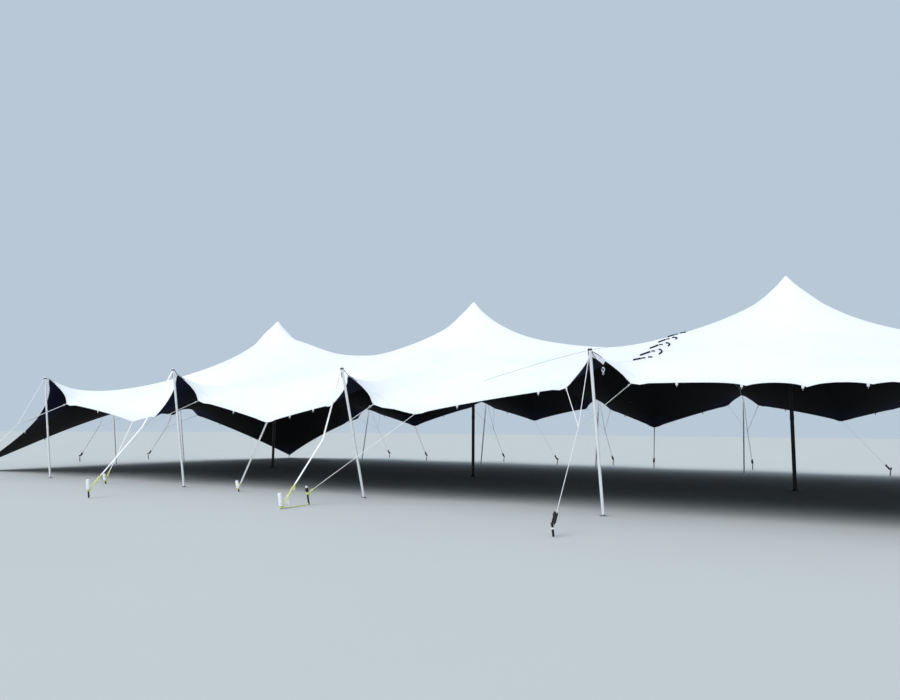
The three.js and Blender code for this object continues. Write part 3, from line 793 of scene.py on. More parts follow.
def crown_lift(x, y):
    """The lift of the crown at a place: it fades out towards the rim and the masts."""
    fade = np.clip(1 - (y / EAR_Y) ** 2, 0, 1) ** 2
    for mast, _ in MASTS:
        fade = fade * (1 - np.exp(-((x - mast) ** 2 + y ** 2) / LIFT_CLEAR ** 2))
    return fade * sum(lift * np.exp(-(((x - at) / LIFT_REACH) ** 2)) for at, lift in CROWN_LIFTS)


# The fine cloth

def fine_places(threads_at, marks):
    """Where the fine cloth has its lines: two to each thread, and more close to a mark, which is its place, its
    reach and the count of lines to a thread there."""
    places = []
    for a, b in zip(threads_at[:-1], threads_at[1:]):
        count = max([2] + [lines for mark, reach, lines in marks if abs((a + b) / 2 - mark) < reach])
        places += [a + (b - a) * k / count for k in range(count)]
    return np.array(places + [threads_at[-1]])


def spline(values, knots, places):
    """Smooth values between the knots along the first axis."""
    slopes = np.gradient(values, knots, axis=0)
    k = np.clip(np.searchsorted(knots, places, side="right") - 1, 0, len(knots) - 2)
    gap = (knots[k + 1] - knots[k])[:, None, None]
    t = ((places - knots[k])[:, None, None]) / gap
    start, end = values[k], values[k + 1]
    return ((2 * t ** 3 - 3 * t ** 2 + 1) * start + (t ** 3 - 2 * t ** 2 + t) * gap * slopes[k]
            + (-2 * t ** 3 + 3 * t ** 2) * end + (t ** 3 - t ** 2) * gap * slopes[k + 1])


def ease(value, low, high):
    t = np.clip((value - low) / (high - low), 0, 1)
    return t * t * (3 - 2 * t)


def cone_drop(r):
    """How far the cone of cloth lies below its top at a distance from the mast's axis."""
    return CONE_SLOPE * (np.sqrt(r ** 2 + CONE_ROUND ** 2) - CONE_ROUND) / (1 + CONE_FLARE * r)


def crease(x, y, start, end):
    """How deep a crease is at a place, from 0 to 1: full at its start on the rim, faded out at its end."""
    start, end = np.array(start), np.array(end)
    long = np.linalg.norm(end - start)
    way = (end - start) / long
    along = ((x - start[0]) * way[0] + (y - start[1]) * way[1]) / long
    off = (x - start[0]) * way[1] - (y - start[1]) * way[0]
    fade = ease(along, *CREASE_DEEPENS) * (1 - ease(along, *CREASE_FADES))
    return fade * np.exp(-((off / CREASE_WIDE) ** 2))


def fine_cloth():
    """The whole cloth as a fine grid: places along and across it in metres, points, and outward normals."""
    marks = [(x, *PEAK_LINES) for x, _ in PEAKS] + [(x, *TAB_LINES) for x, _ in ENTRANCE_TABS]
    across = fine_places(NET_X, marks)
    up = fine_places(NET_Y, [(PEAKS[0][1], *PEAK_LINES)])
    points = spline(relaxed_net(), NET_X, across)
    points = spline(points.transpose(1, 0, 2), NET_Y, up).transpose(1, 0, 2)
    for x, height in MASTS:
        r = np.hypot(points[..., 0] - x, points[..., 1])
        share = 1 - ease(r, CONE_FULL, CONE_ENDS)
        points[..., 2] += share * (height + CONE_RISE - cone_drop(r) - points[..., 2])
    for start, end, deep in CREASES:
        points[..., 2] -= deep * crease(points[..., 0], points[..., 1], start, end)
    from_rim = up[None, :] + EAR_Y
    for x, deep in ENTRANCE_TABS:
        points[..., 2] -= deep * np.exp(-np.abs(points[..., 0] - x) / TAB_REACH) * np.exp(-from_rim / TAB_DEEP)
    return across, up, points, unit_rows(np.cross(np.gradient(points, axis=0), np.gradient(points, axis=1)))


def seam_step(y):
    """How far the seam lies from its pole's line at a distance across the cloth."""
    return np.interp(np.abs(y), *zip(*SEAM_LINE))


def drawn_to_seam(grid, across, up):
    """The same surface with its columns drawn aside near the seam, so that one of them lies along it."""
    near_seam = np.clip(1 - np.abs(across - SIDE_X[SEAM_POLE]) / SEAM_SHIFTS_WITHIN, 0, 1)
    drawn = grid.copy()
    for j, y in enumerate(up):
        places = across + seam_step(y) * near_seam
        for axis in range(3):
            drawn[:, j, axis] = np.interp(places, across, grid[:, j, axis])
    return drawn


CLOTH = dict(zip(("x", "y", "points", "normals"), fine_cloth()))
SEWN = {key: drawn_to_seam(CLOTH[key], CLOTH["x"], CLOTH["y"]) for key in ("points", "normals")}
SEAM = nearest(CLOTH["x"], SIDE_X[SEAM_POLE])


def fine_cell(net_cell):
    """The place in the fine cloth of a crossing of the net."""
    return nearest(CLOTH["x"], NET_X[net_cell[0]]), nearest(CLOTH["y"], NET_Y[net_cell[1]])


def rim_point(net_cell):
    """The middle of the cloth's edge where it is held."""
    i, j = fine_cell(net_cell)
    half = bpy.context.scene.tent_cloth.thickness / 2
    return Vector(CLOTH["points"][i, j] - CLOTH["normals"][i, j] * half)


def cloth_at(x, y):
    """A point of the outer face and its normal, by place along and across the cloth."""
    i = np.clip(np.searchsorted(CLOTH["x"], x) - 1, 0, len(CLOTH["x"]) - 2)
    j = np.clip(np.searchsorted(CLOTH["y"], y) - 1, 0, len(CLOTH["y"]) - 2)
    s = (x - CLOTH["x"][i]) / (CLOTH["x"][i + 1] - CLOTH["x"][i])
    t = (y - CLOTH["y"][j]) / (CLOTH["y"][j + 1] - CLOTH["y"][j])
    out = []
    for grid in (CLOTH["points"], CLOTH["normals"]):
        low = grid[i, j] * (1 - s) + grid[i + 1, j] * s
        high = grid[i, j + 1] * (1 - s) + grid[i + 1, j + 1] * s
        out.append(low * (1 - t) + high * t)
    return out[0], unit_rows(out[1])


def held_points():
    """All points of the rim and the peaks that have a sewn patch."""
    places = [c for pole in POLES for c in pole["cells"]] + [low["cell"] for low in LOWS + CORNERS]
    return np.array([CLOTH["points"][fine_cell(c)] for c in places] + [(x, 0, height) for x, height in MASTS])


def canopy(name, first, last, gap_first, gap_last, thick):
    """One canopy as a thin closed sheet: white outside, black inside, with its hem and patches marked."""
    columns, rows = last - first + 1, len(CLOTH["y"])
    outer = SEWN["points"][first:last + 1].copy()
    outer[0, :, 0] += gap_first
    outer[-1, :, 0] += gap_last
    inner = outer - SEWN["normals"][first:last + 1] * thick
    points = np.concatenate([outer.reshape(-1, 3), inner.reshape(-1, 3)])
    below = columns * rows
    index = np.arange(below).reshape(columns, rows)
    quads = np.stack([index[:-1, :-1], index[1:, :-1], index[1:, 1:], index[:-1, 1:]], -1).reshape(-1, 4)
    under = quads[:, [0, 3, 2, 1]] + below
    lines = (index[:, 0], index[::-1, -1], index[0, ::-1], index[-1])
    border = [np.stack([line[1:], line[:-1], line[:-1] + below, line[1:] + below], 1) for line in lines]
    faces = np.concatenate([quads, under, *border])
    along, across = np.repeat(CLOTH["x"][first:last + 1], rows), np.tile(CLOTH["y"], columns)
    uvs = np.stack([np.tile(along, 2), np.tile(across, 2)], 1)[faces.ravel()]
    piece = mesh_piece(name, points, faces.tolist(), uvs)
    mesh = piece.data
    edges = [across - across.min(), across.max() - across, along - along.min(), along.max() - along]
    rim = np.minimum.reduce(edges)
    patch = np.min([np.linalg.norm(outer.reshape(-1, 3) - point, axis=1) for point in held_points()], axis=0)
    for label, values in (("rim", rim), ("patch", patch)):
        data = mesh.attributes.new(label, "FLOAT", "POINT").data
        data.foreach_set("value", np.tile(values, 2).astype(np.float32))
    mesh.materials.append(outer_knit())
    mesh.materials.append(inner_knit())
    side = np.zeros(len(faces), np.int32)
    side[len(quads):2 * len(quads)] = 1
    mesh.polygons.foreach_set("material_index", side)
    select_only(piece)
    bpy.ops.object.shade_smooth_by_angle(angle=math.radians(SMOOTH_CLOTH))
    return piece


def rim_line(first, last):
    """The closed line of a canopy's edge, through its outer face."""
    grid = SEWN["points"][first:last + 1]
    return np.concatenate([grid[:, 0], grid[-1, 1:], grid[-2::-1, -1], grid[0, -2:0:-1]])


# The panel's settings

def length(name, description, default, low, high):
    return FloatProperty(name=name, description=description, default=default, min=low, max=high, unit="LENGTH")


def colour(name, description, hex_colour):
    return FloatVectorProperty(name=name, description=description, subtype="COLOR", size=3,
                               default=linear(hex_colour), min=0, max=1)


class TentCloth(PropertyGroup):
    """Sizes and colours of the two canopies."""
    thickness: length("Cloth thickness", "Thickness of the coated knit as shown", 0.004, 0.001, 0.012)
    hem_radius: length("Hem radius", "Radius of the rolled hem with its elastic cord", 0.006, 0.002, 0.02)
    outer: colour("Outer face", "Colour of the coated outer face", 0xF7F9FB)
    inner: colour("Inner face", "Colour of the dyed inner face", 0x07080C)


class TentPoles(PropertyGroup):
    """Sizes and colours of the masts and the rim poles."""
    mast_radius: length("Mast radius", "Radius of the mast tube", 0.045, 0.02, 0.06)
    tube_radius: length("Rim pole radius", "Radius of the rim pole tube", 0.025, 0.01, 0.03)
    mast_colour: colour("Mast", "Colour of the masts' powder coat", 0x141518)
    tube_colour: colour("Rim pole", "Colour of the rim poles' metal", 0xFAFBFC)


class TentStraps(PropertyGroup):
    """Sizes and colours of the webbing, ropes, cords and stakes."""
    width: length("Webbing width", "Width of the ratchet webbing", 0.036, 0.02, 0.05)
    ear_width: length("Ear webbing width", "Width of the webbing from the ears", 0.018, 0.01, 0.05)
    thick: length("Webbing thickness", "Thickness of the webbing as shown", 0.004, 0.001, 0.008)
    cord_radius: length("Cord radius", "Radius of the tie cord", 0.006, 0.002, 0.01)
    rope_radius: length("Rope radius", "Radius of the rope at the stakes", 0.008, 0.003, 0.012)
    stake_radius: length("Stake radius", "Radius of the steel stake", 0.016, 0.01, 0.03)
    sleeve_radius: length("Sleeve radius", "Radius of the white sleeve on a stake", 0.036, 0.02, 0.05)
    webbing_colour: colour("Webbing", "Colour of the webbing", 0xF3F2F0)
    rope_colour: colour("Rope", "Colour of the rope at the stakes", 0xE6EA86)


class TentStage(PropertyGroup):
    """Floor and light."""
    floor: colour("Floor", "Colour of the floor", 0xC4C7C6)
    backdrop: colour("Backdrop", "Colour of the air behind the tent", 0xB9C8D6)
    focal: FloatProperty(name="Focal length", description="Lens over a 36 mm wide sensor, in millimetres",
                         default=28.596, min=10, max=200)


# Canopies

# The tab of webbing that holds a ring at the hem, as (outward, along the cloth's normal, up) from the edge
LOOP_TAB = [(-0.06, 0.003, 0), (0, 0.004, 0), (0.006, 0, -0.02), (0, 0, -0.045), (-0.006, 0, -0.02),
            (-0.03, -0.006, 0)]
LOOP_RING, LOOP_WIRE, LOOP_RING_BELOW = 0.018, 0.0035, 0.058


def hem_loop(x, y, outward, sizes):
    """A short tab of webbing sewn on the hem with a ring in it, hanging at a place of the rim."""
    at, normal = (Vector(v) for v in cloth_at(x, y))
    along = Vector((-outward.y, outward.x, 0))
    tab = [at + outward * out + normal * off + UP * rise for out, off, rise in LOOP_TAB]
    return [webbing(tab, along, sizes.width, sizes.thick),
            ring(LOOP_RING, LOOP_WIRE, axes_at(at - UP * LOOP_RING_BELOW, along))]


def laid_on_cloth(places, lift):
    """A path over the cloth, by places along and across it, whose ends dip into it."""
    path = [point + normal * lift for point, normal in (cloth_at(x, y) for x, y in places)]
    return np.array([path[0] - DIP] + path + [path[-1] - DIP])


def panel_seam_and_crease_shade():
    """The panel seam's raised welt, grey as painted shade of the crease, from the front slope over the ridge and
    down the rear slope alike.
    """
    marks = np.array(PANEL_SEAM + [(x, -y) for x, y in PANEL_SEAM[-2::-1]])
    places = np.linspace(marks[0, 1], marks[-1, 1], PANEL_SEAM_STEPS)
    drift = np.pad(np.interp(places, marks[:, 1], marks[:, 0]), PANEL_SEAM_SMOOTH // 2, "edge")
    drift = np.convolve(drift, np.full(PANEL_SEAM_SMOOTH, 1 / PANEL_SEAM_SMOOTH), "valid")
    return cord(laid_on_cloth(zip(drift, places), PANEL_SEAM_RADIUS * 0.5), PANEL_SEAM_RADIUS, seam_welt_painted_shade(), 6)


def lace_row(y):
    """One loop of the lacing, lying on the cloth where it shows between its eyelets."""
    x = SIDE_X[SEAM_POLE] + seam_step(y)
    outward = 1 if y < 0 else -1
    rows = LACE_OUTER_SHOWS if abs(y) == abs(LACE_ROWS[0]) else LACE_SHOWS
    parts = []
    for radius, shows in zip(LACE_RADII, rows):
        places = [(x + dx, y + dy * outward) for dx, dy in shows]
        parts.append(cord(laid_on_cloth(places, radius * CORD_OFF_CLOTH), radius, braided_cord()))
    return parts


class TENT_OT_canopies(Operator):
    """Makes the two canopies with their rolled hems, loops and panel seam, and the lacing that joins them"""
    bl_idname = "tent.canopies"
    bl_label = "Canopies"

    def execute(self, context):
        sizes, straps = context.scene.tent_cloth, context.scene.tent_straps
        left, right = CLOTH["x"][0], CLOTH["x"][-1]
        cuts = (("west", 0, SEAM, 0, -SEAM_GAP, (20, 15)),
                ("east", SEAM, len(CLOTH["x"]) - 1, SEAM_GAP, 0, (10, 15)))
        for side, first, end, gap_first, gap_last, flat in cuts:
            cloth = canopy(f"cloth_{side}", first, end, gap_first, gap_last, sizes.thickness)
            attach(cloth, "root")
            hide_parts(f"canopy_{side}")
            line = rim_line(first, end)
            line[:, 2] -= sizes.thickness / 2
            hem = cord(line, sizes.hem_radius, outer_knit(), closed=True)
            hem = joined(f"hem_{side}", [hem])
        edges = (("front", (0, -1, 0), [(x, -EAR_Y) for x in FRONT_LOOPS + [x for x, _ in ENTRANCE_TABS]]),
                 ("rear", (0, 1, 0), [(x, EAR_Y) for x in REAR_LOOPS]),
                 ("left", (-1, 0, 0), [(left, y) for y in END_LOOPS]),
                 ("right", (1, 0, 0), [(right, y) for y in END_LOOPS]))
        for row, outward, places in edges:
            loops = [part for x, y in places for part in hem_loop(x, y, Vector(outward), straps)]
            joined(f"hem_loops_{row}", loops)
        joined("seam_lacing", [part for y in LACE_ROWS for part in lace_row(y)])
        joined("panel_seam_and_crease_shade", [panel_seam_and_crease_shade()])
        return {"FINISHED"}


# Masts and rim poles, drawn as (radius, height) up their axes. A head's heights are below its top.

MAST_FOOT = [(0.11, 0), (0.11, 0.008), (0.106, 0.012), (0.062, 0.014), (0.056, 0.04)]
MAST_HEAD = [(0.05, 0.13), (0.052, 0.09), (0.064, 0.076), (0.066, 0.066), (0.060, 0.053), (0.047, 0.037),
             (0.030, 0.019), (0.012, 0.004), (0.004, 0.001)]
MAST_TUBE = (0.05, 0.14)
MAST_CLEAR = 0.004
POLE_FOOT = [(0.057, 0), (0.06, 0.002), (0.06, 0.006), (0.056, 0.009), (0.036, 0.010), (0.03, 0.014)]
# The pole's cap and plug, by how far they stand proud of the tube
POLE_CAP = [(0.002, 0.03), (0.003, 0.006), (-0.006, 0)]
POLE_PLUG = [(0.002, 0.004), (0.003, 0.012), (0.002, 0.028), (0, 0.03)]


def collar(radius, proud, at, half):
    """The profile of a collar round a tube, with its edges broken by 2 mm."""
    wide, edge = radius + proud, half - 0.002
    return [(radius, at - half), (wide, at - edge), (wide, at + edge), (radius, at + half)]


class TENT_OT_masts(Operator):
    """Makes the three masts with foot plate, joint collars and the round head under the cloth"""
    bl_idname = "tent.masts"
    bl_label = "Masts"

    def execute(self, context):
        radius = context.scene.tent_poles.mast_radius
        for k, (x, height) in enumerate(MASTS):
            top = height + CONE_RISE - context.scene.tent_cloth.thickness - MAST_CLEAR
            profile = MAST_FOOT + [(radius, MAST_TUBE[0])]
            for joint in (top / 3, 2 * top / 3):
                profile += collar(radius, 0.004, joint, 0.06)
            profile += [(radius, top - MAST_TUBE[1])] + [(wide, top - below) for wide, below in MAST_HEAD]
            mast = turned(profile, powder_coat(), Matrix.Translation((x, 0, 0)), 24)
            joined(f"mast_{k + 1}", [mast], f"king_pole_{k + 1}")
        return {"FINISHED"}


def pole_tube(pole, radius):
    """A leaning tube with a collar where its two lengths meet, a capped head, and a flat foot disc."""
    axis = pole["top"] - pole["foot"]
    long = axis.length
    place = axes_at(pole["foot"], axis)
    tube = [(radius, 0.012)] + collar(radius, 0.003, long * 0.5, 0.03)
    tube += [(radius, long - 0.004), (radius - 0.003, long - 0.001)]
    cap = [(radius + proud, long - below) for proud, below in POLE_CAP] + [(0.004, long + 0.001)]
    plug = [(radius + proud, high) for proud, high in POLE_PLUG]
    disc = Matrix.Translation(pole["foot"])
    return [turned(tube, extruded_aluminium(), place), turned(cap, moulded_plastic(), place),
            turned(plug, moulded_rubber(), place), turned(POLE_FOOT, zinc_steel(), disc, 20)]


def rim_cord(pole, which, reach, radius):
    """The black cord sewn along the hem from a pole's tip towards one ear."""
    tip, ear = fine_cell(pole["cells"][1]), fine_cell(pole["cells"][which])
    count = max(abs(ear[0] - tip[0]), abs(ear[1] - tip[1]))
    path, travel = [], 0.0
    for k in range(count + 1):
        i, j = (a + round((b - a) * k / count) for a, b in zip(tip, ear))
        point = CLOTH["points"][i, j] + CLOTH["normals"][i, j] * radius * CORD_OFF_CLOTH
        if path:
            step = np.linalg.norm(point - path[-1])
            if travel + step > reach:
                path.append(path[-1] + (point - path[-1]) * (reach - travel) / step)
                break
            travel += step
        path.append(point)
    return cord(path, radius, braided_cord(), 6)


# The tie at a pole's head: how far below the top it is wound, its turns, steps and rise, where its cord goes down
# the pole as (aside, away from the cloth) and by how far, and the cords from the tip towards each ear
TIE_BELOW, TIE_TURNS, TIE_STEPS, TIE_RISE = 0.05, 2.5, 40, 0.024
TIE_FLANK, TIE_FALL = (0.9, 0.44), (-0.01, 0.05, 0.12, 0.17)
RIM_CORDS = ((0, 0.16), (2, 0.22))


def pole_tie(pole, tube_radius, radius):
    """The black cord from the cloth's tip, wound round the pole's head and drawn down its side to a cleat."""
    axis = (pole["top"] - pole["foot"]).normalized()
    tip = rim_point(pole["cells"][1])
    at = pole["top"] - axis * TIE_BELOW
    towards = tip - at
    towards = (towards - axis * towards.dot(axis)).normalized()
    side = axis.cross(towards)
    reach = tube_radius + radius
    turns = []
    for k in range(TIE_STEPS + 1):
        share = k / TIE_STEPS
        turns += circled(at + axis * (TIE_RISE * share), towards, side, reach, [TURN * TIE_TURNS * share])
    path = [tip + (turns[0] - tip) * t for t in (0, 0.35, 0.7)] + turns
    flank = (side * TIE_FLANK[0] - towards * TIE_FLANK[1]) * (reach if side.x < 0 else -reach)
    down = [at + flank - axis * drop for drop in TIE_FALL]
    return ([cord(line, radius, braided_cord(), 6) for line in (path, down)]
            + [rim_cord(pole, which, long, radius) for which, long in RIM_CORDS])


def tip_flap(thick):
    """The end of the seam's white underlap, which hangs below the hem beside the tip."""
    places = SIDE_X[SEAM_POLE] + np.linspace(*FLAP_SPAN, 8)
    edge = np.array([cloth_at(x, -EAR_Y)[0] for x in places])
    along = unit_rows(np.gradient(edge, axis=0))
    upward = unit_rows(np.array(UP) - along[:, 2:] * along)
    return webbing(edge - upward * (FLAP_DEEP / 2 + FLAP_BELOW), upward, FLAP_DEEP, thick, outer_knit())


# The spare snap hook: where it hangs from the tip and the way it points, and the sizes of its long ring, its
# eye and its swivel
HOOK_HANGS, HOOK_POINTS = Vector((0.15, 0.10, -0.33)), Vector((0.5, 0, -1))
HOOK_RING, HOOK_WIRE, HOOK_STRETCH, HOOK_AT = 0.022, 0.008, 1.5, 0.038
EYE_RING, EYE_WIRE, EYE_AT = 0.014, 0.004, -0.028
SWIVEL, SWIVEL_AT = [(0.006, -0.012), (0.009, -0.008), (0.009, 0.008), (0.006, 0.012)], -0.008


def snap_hook(tip, radius):
    """A spare snap hook that hangs on a short cord inside the tip: a long ring with its eye and swivel."""
    at = tip + HOOK_HANGS
    line = cord(between(tip - UP * 0.01, at + UP * 0.03, 4), radius, braided_cord(), 6)
    place = axes_at(at, UP.cross(HOOK_POINTS.normalized())) @ Matrix.Rotation(QUARTER, 4, "Z")

    def along(step):
        return place @ Matrix.Translation((step, 0, 0))

    return [line, ring(HOOK_RING, HOOK_WIRE, along(HOOK_AT), HOOK_STRETCH),
            ring(EYE_RING, EYE_WIRE, along(EYE_AT)),
            turned(SWIVEL, zinc_steel(), along(SWIVEL_AT) @ Matrix.Rotation(QUARTER, 4, "Y"), 10)]


class TENT_OT_rim_poles(Operator):
    """Makes the leaning rim poles, each with the cords that tie the cloth's tip to its head"""
    bl_idname = "tent.rim_poles"
    bl_label = "Rim poles"

    def execute(self, context):
        radius = context.scene.tent_poles.tube_radius
        straps = context.scene.tent_straps
        for pole in POLES:
            parts = pole_tube(pole, radius) + pole_tie(pole, radius, straps.cord_radius)
            if pole is POLES[2 * SEAM_POLE]:
                parts += snap_hook(rim_point(pole["cells"][1]), straps.cord_radius * 0.6)
                parts.append(tip_flap(straps.thick))
            joined(pole["place"] % "rim_pole", parts, pole["place"] % "pole")
        return {"FINISHED"}


# Guys, tie-downs and stakes

# A stake's lean and the height of its foot, the height of a struck head, the longest sleeve that is a cap, how
# wide a cap is by the stake's radius, where the line holds under it as a share of the stake's length, and how
# long the rubber guard below it is
STAKE_LEAN, STAKE_FOOT_Z, STRUCK_HEAD = 0.06, 0.008, 0.022
CAP_LONG, CAP_WIDE, CAPPED_HOLD, GUARD_LONG = 0.05, 1.35, 0.60, 0.10
GUY_BELOW_HEAD = 0.06
KNOT_RING, KNOT_WIRE = 0.024, 0.004
# The webbing from an ear: where its buckle sits, and how far it is turned on edge, in degrees
BUCKLE_AT, EAR_EDGE = 0.09, 65
# The strap's spare end, which hangs as a loop on a rope longer than this: its height, width and place on it
SPARE_ROPE_FROM, SPARE_TALL, SPARE_APART, SPARE_AT = 0.5, 0.17, 0.035, 0.55
# The webbing's ring above a rope, and the loose end below that ring as (along the line, up)
ROPE_RING, ROPE_WIRE = 0.016, 0.004
LOOSE_END = ((0.02, 0.012), (0.06, -0.02), (0.07, -0.09))
# The rope's turns round the stake with their steps, and its hitch: turns, steps, where it begins as a share of
# the rope, its length and width by the rope's radius, how flat it is, and its tail as (along the line, down)
WOUND_TURNS, WOUND_STEPS = 2.5, 30
HITCH_TURNS, HITCH_STEPS, HITCH_FROM, HITCH_LONG, HITCH_WIDE, HITCH_FLAT = 2, 24, 0.2, 3.6, 2.6, 0.7
HITCH_TAIL = ((0.02, 0.01), (0.05, 0.045), (0.055, 0.08))
# The ground rope: the height at which it is tied, how far it sways aside as (reach, turns), and how it comes down
TIED_AT, GROUND_SWAYS, GROUND_RISE, GROUND_ENDS = 0.03, ((0.05, 1), (0.02, 2.5)), 0.04, 6
# The ratchet lies along Z: its spool's and its bolt's places, how far from the stake it begins, and its length
SPOOL_AT, BOLT_AT, RATCHET_FROM, RATCHET_LONG = 0.12, 0.02, 0.25, 0.185
CHEEK = (0.005, 0.044, 0.175)
WHEEL = [(0.020, 0), (0.022, 0.001), (0.022, 0.003), (0.020, 0.004)]
SPOOL = [(0.008, -0.033), (0.009, -0.030), (0.009, -0.021), (0.019, -0.02), (0.021, 0), (0.019, 0.02),
         (0.009, 0.021), (0.009, 0.030), (0.008, 0.033)]
BOLT = [(0.004, -0.030), (0.007, -0.028), (0.007, 0.028), (0.004, 0.030)]
HANDLE, HANDLE_AT = (0.050, 0.007, 0.15), (0, 0.028, 0.082)
GRIP, GRIP_AT = (0.062, 0.018, 0.034), (0, 0.030, 0.014)
LATCH, LATCH_AT = (0.040, 0.010, 0.022), (0, 0.012, 0.172)


def stake_parts(at, tall, sleeve_long, pull_from, sizes):
    """A steel stake that leans away from its line, with a white sleeve, or a cap over a rubber guard, or its
    own struck head. Also gives the place where the line holds it."""
    away = at - pull_from
    away.z = 0
    foot = at + UP * STAKE_FOOT_Z
    top = at + away.normalized() * STAKE_LEAN + UP * tall
    long = (top - foot).length
    place = axes_at(foot, top - foot)
    shaft = sizes.stake_radius
    sleeved = sleeve_long > CAP_LONG
    wide = sizes.sleeve_radius if sleeved else shaft * CAP_WIDE
    low = long - (sleeve_long or STRUCK_HEAD)
    held_at = max(low - 0.012, 0.02) if sleeved else min(low - 0.02, long * CAPPED_HOLD)
    steel = [(shaft * 0.9, 0), (shaft, 0.01), (shaft, long - 0.022), (shaft * 0.8, long - 0.012)]
    head = [(shaft + 0.002, low), (wide, low + 0.004), (wide + 0.002, low + 0.008), (wide, low + 0.012),
            (wide * 0.97, long - 0.014), (wide * 0.8, long - 0.004), (wide * 0.4, long)]
    parts = [turned(steel, black_steel(), place, 12),
             turned(head, moulded_plastic() if sleeve_long else black_steel(), place)]
    if sleeve_long and not sleeved:
        guard_low = max(low - GUARD_LONG, held_at + 0.02)
        guard = [(shaft, guard_low), (shaft * 1.6, guard_low + 0.004), (shaft * 1.7, low - 0.006), (shaft, low)]
        parts.append(turned(guard, moulded_rubber(), place))
    return parts, foot + (top - foot).normalized() * held_at


def ratchet():
    """The ratchet, lying along Z on its webbing: two cheeks, the spool with its toothed wheels, and the
    handle with its grip."""
    axle = (1, 0, 0)
    parts = []
    for side in (-1, 1):
        parts.append(block(CHEEK, (side * 0.027, 0.002, 0.095), 0.0015, black_steel()))
        parts.append(turned(WHEEL, black_steel(), axes_at((side * 0.0225 - 0.002, 0, SPOOL_AT), axle), 14))
    parts += [turned(SPOOL, black_steel(), axes_at((0, 0, SPOOL_AT), axle), 14),
              block(HANDLE, HANDLE_AT, 0.002, black_steel()), block(GRIP, GRIP_AT, 0.006, moulded_rubber()),
              block(LATCH, LATCH_AT, 0.003, black_steel()),
              turned(BOLT, zinc_steel(), axes_at((0, 0, BOLT_AT), axle), 10)]
    master = joined("ratchet", parts)
    master.parent = None
    return master


def levelled(way):
    return Vector((way.x, way.y, 0)).normalized()


def rope_to_stake(start, eye, stake_radius, radius):
    """A doubled rope from the webbing's ring, twice round the stake and back, with a hitch over both legs and
    a loose end."""
    along = (eye - start).normalized()
    across = along.cross(UP).normalized()
    out = across.cross(along) * HITCH_FLAT
    path = [start - across * radius, start.lerp(eye, 0.4) - across * radius]
    for k in range(WOUND_STEPS + 1):
        share = k / WOUND_STEPS
        path += circled(eye + UP * radius * (5 * share - 2.5), levelled(along), across, stake_radius + radius,
                        [TURN * WOUND_TURNS * share - QUARTER])
    path += [eye.lerp(start, 0.5) + across * radius, start + across * radius]
    hitch_from, hitch = (eye - start).length * HITCH_FROM, []
    for k in range(HITCH_STEPS + 1):
        share = k / HITCH_STEPS
        hitch += circled(start + along * (hitch_from + radius * HITCH_LONG * share), across, out,
                         radius * HITCH_WIDE, [TURN * HITCH_TURNS * share])
    hitch += [hitch[-1] + along * run - UP * fall for run, fall in HITCH_TAIL]
    return [cord(path, radius, laid_rope()), cord(hitch, radius * 0.9, laid_rope())]


def stake_sling(start, eye, stake_radius, wide, thick):
    """The short webbing loop that a ratchet hangs from, round the stake."""
    along = (eye - start).normalized()
    across = along.cross(UP).normalized()
    bow = circled(eye, levelled(along), across, stake_radius + thick / 2, np.linspace(-QUARTER, QUARTER, 13))
    return webbing([start] + bow + [start + across * thick * 1.1], UP, wide * 0.7, thick)


def spare_loop(at, down, sizes):
    """The strap's spare end, folded into a loop that hangs from the rope."""
    run = levelled(down)
    path = []
    for a in np.linspace(0, TURN, 25)[:-1]:
        aside = SPARE_APART / 2 * math.sin(a) * (1.4 - 0.4 * math.cos(a))
        path.append(at + run * aside + UP * SPARE_TALL / 2 * (math.cos(a) - 0.9))
    return webbing(path, run.cross(UP), sizes.width, sizes.thick, closed=True)


def line_end(start, eye, rope_long, master, flat, sizes):
    """The lower end of a line from start to the stake's eye: webbing, then a rope or a ratchet."""
    down = (eye - start).normalized()
    hook = start + down * ((eye - start).length - (rope_long or RATCHET_FROM))
    side = flat.cross(down)
    parts = [webbing(between(start, hook, 6), flat, sizes.width, sizes.thick)]
    if rope_long:
        parts.append(ring(ROPE_RING, ROPE_WIRE, axes_at(hook, side)))
        fall = [hook] + [hook + down * run + UP * rise for run, rise in LOOSE_END]
        parts.append(webbing(fall, flat, sizes.width * 0.9, sizes.thick))
        parts += rope_to_stake(hook, eye, sizes.stake_radius, sizes.rope_radius)
        if rope_long > SPARE_ROPE_FROM:
            parts.append(spare_loop(hook.lerp(eye, SPARE_AT), down, sizes))
    else:
        parts.append(copy_of(master, axes_at(hook, down, side)))
        parts.append(stake_sling(hook + down * RATCHET_LONG, eye, sizes.stake_radius, sizes.width, sizes.thick))
    return parts


def turned_flat(down, degrees):
    """The way a webbing's width points, level and square to its run, then turned on edge."""
    flat = down.cross(UP).normalized()
    return Matrix.Rotation(math.radians(degrees), 3, down) @ flat


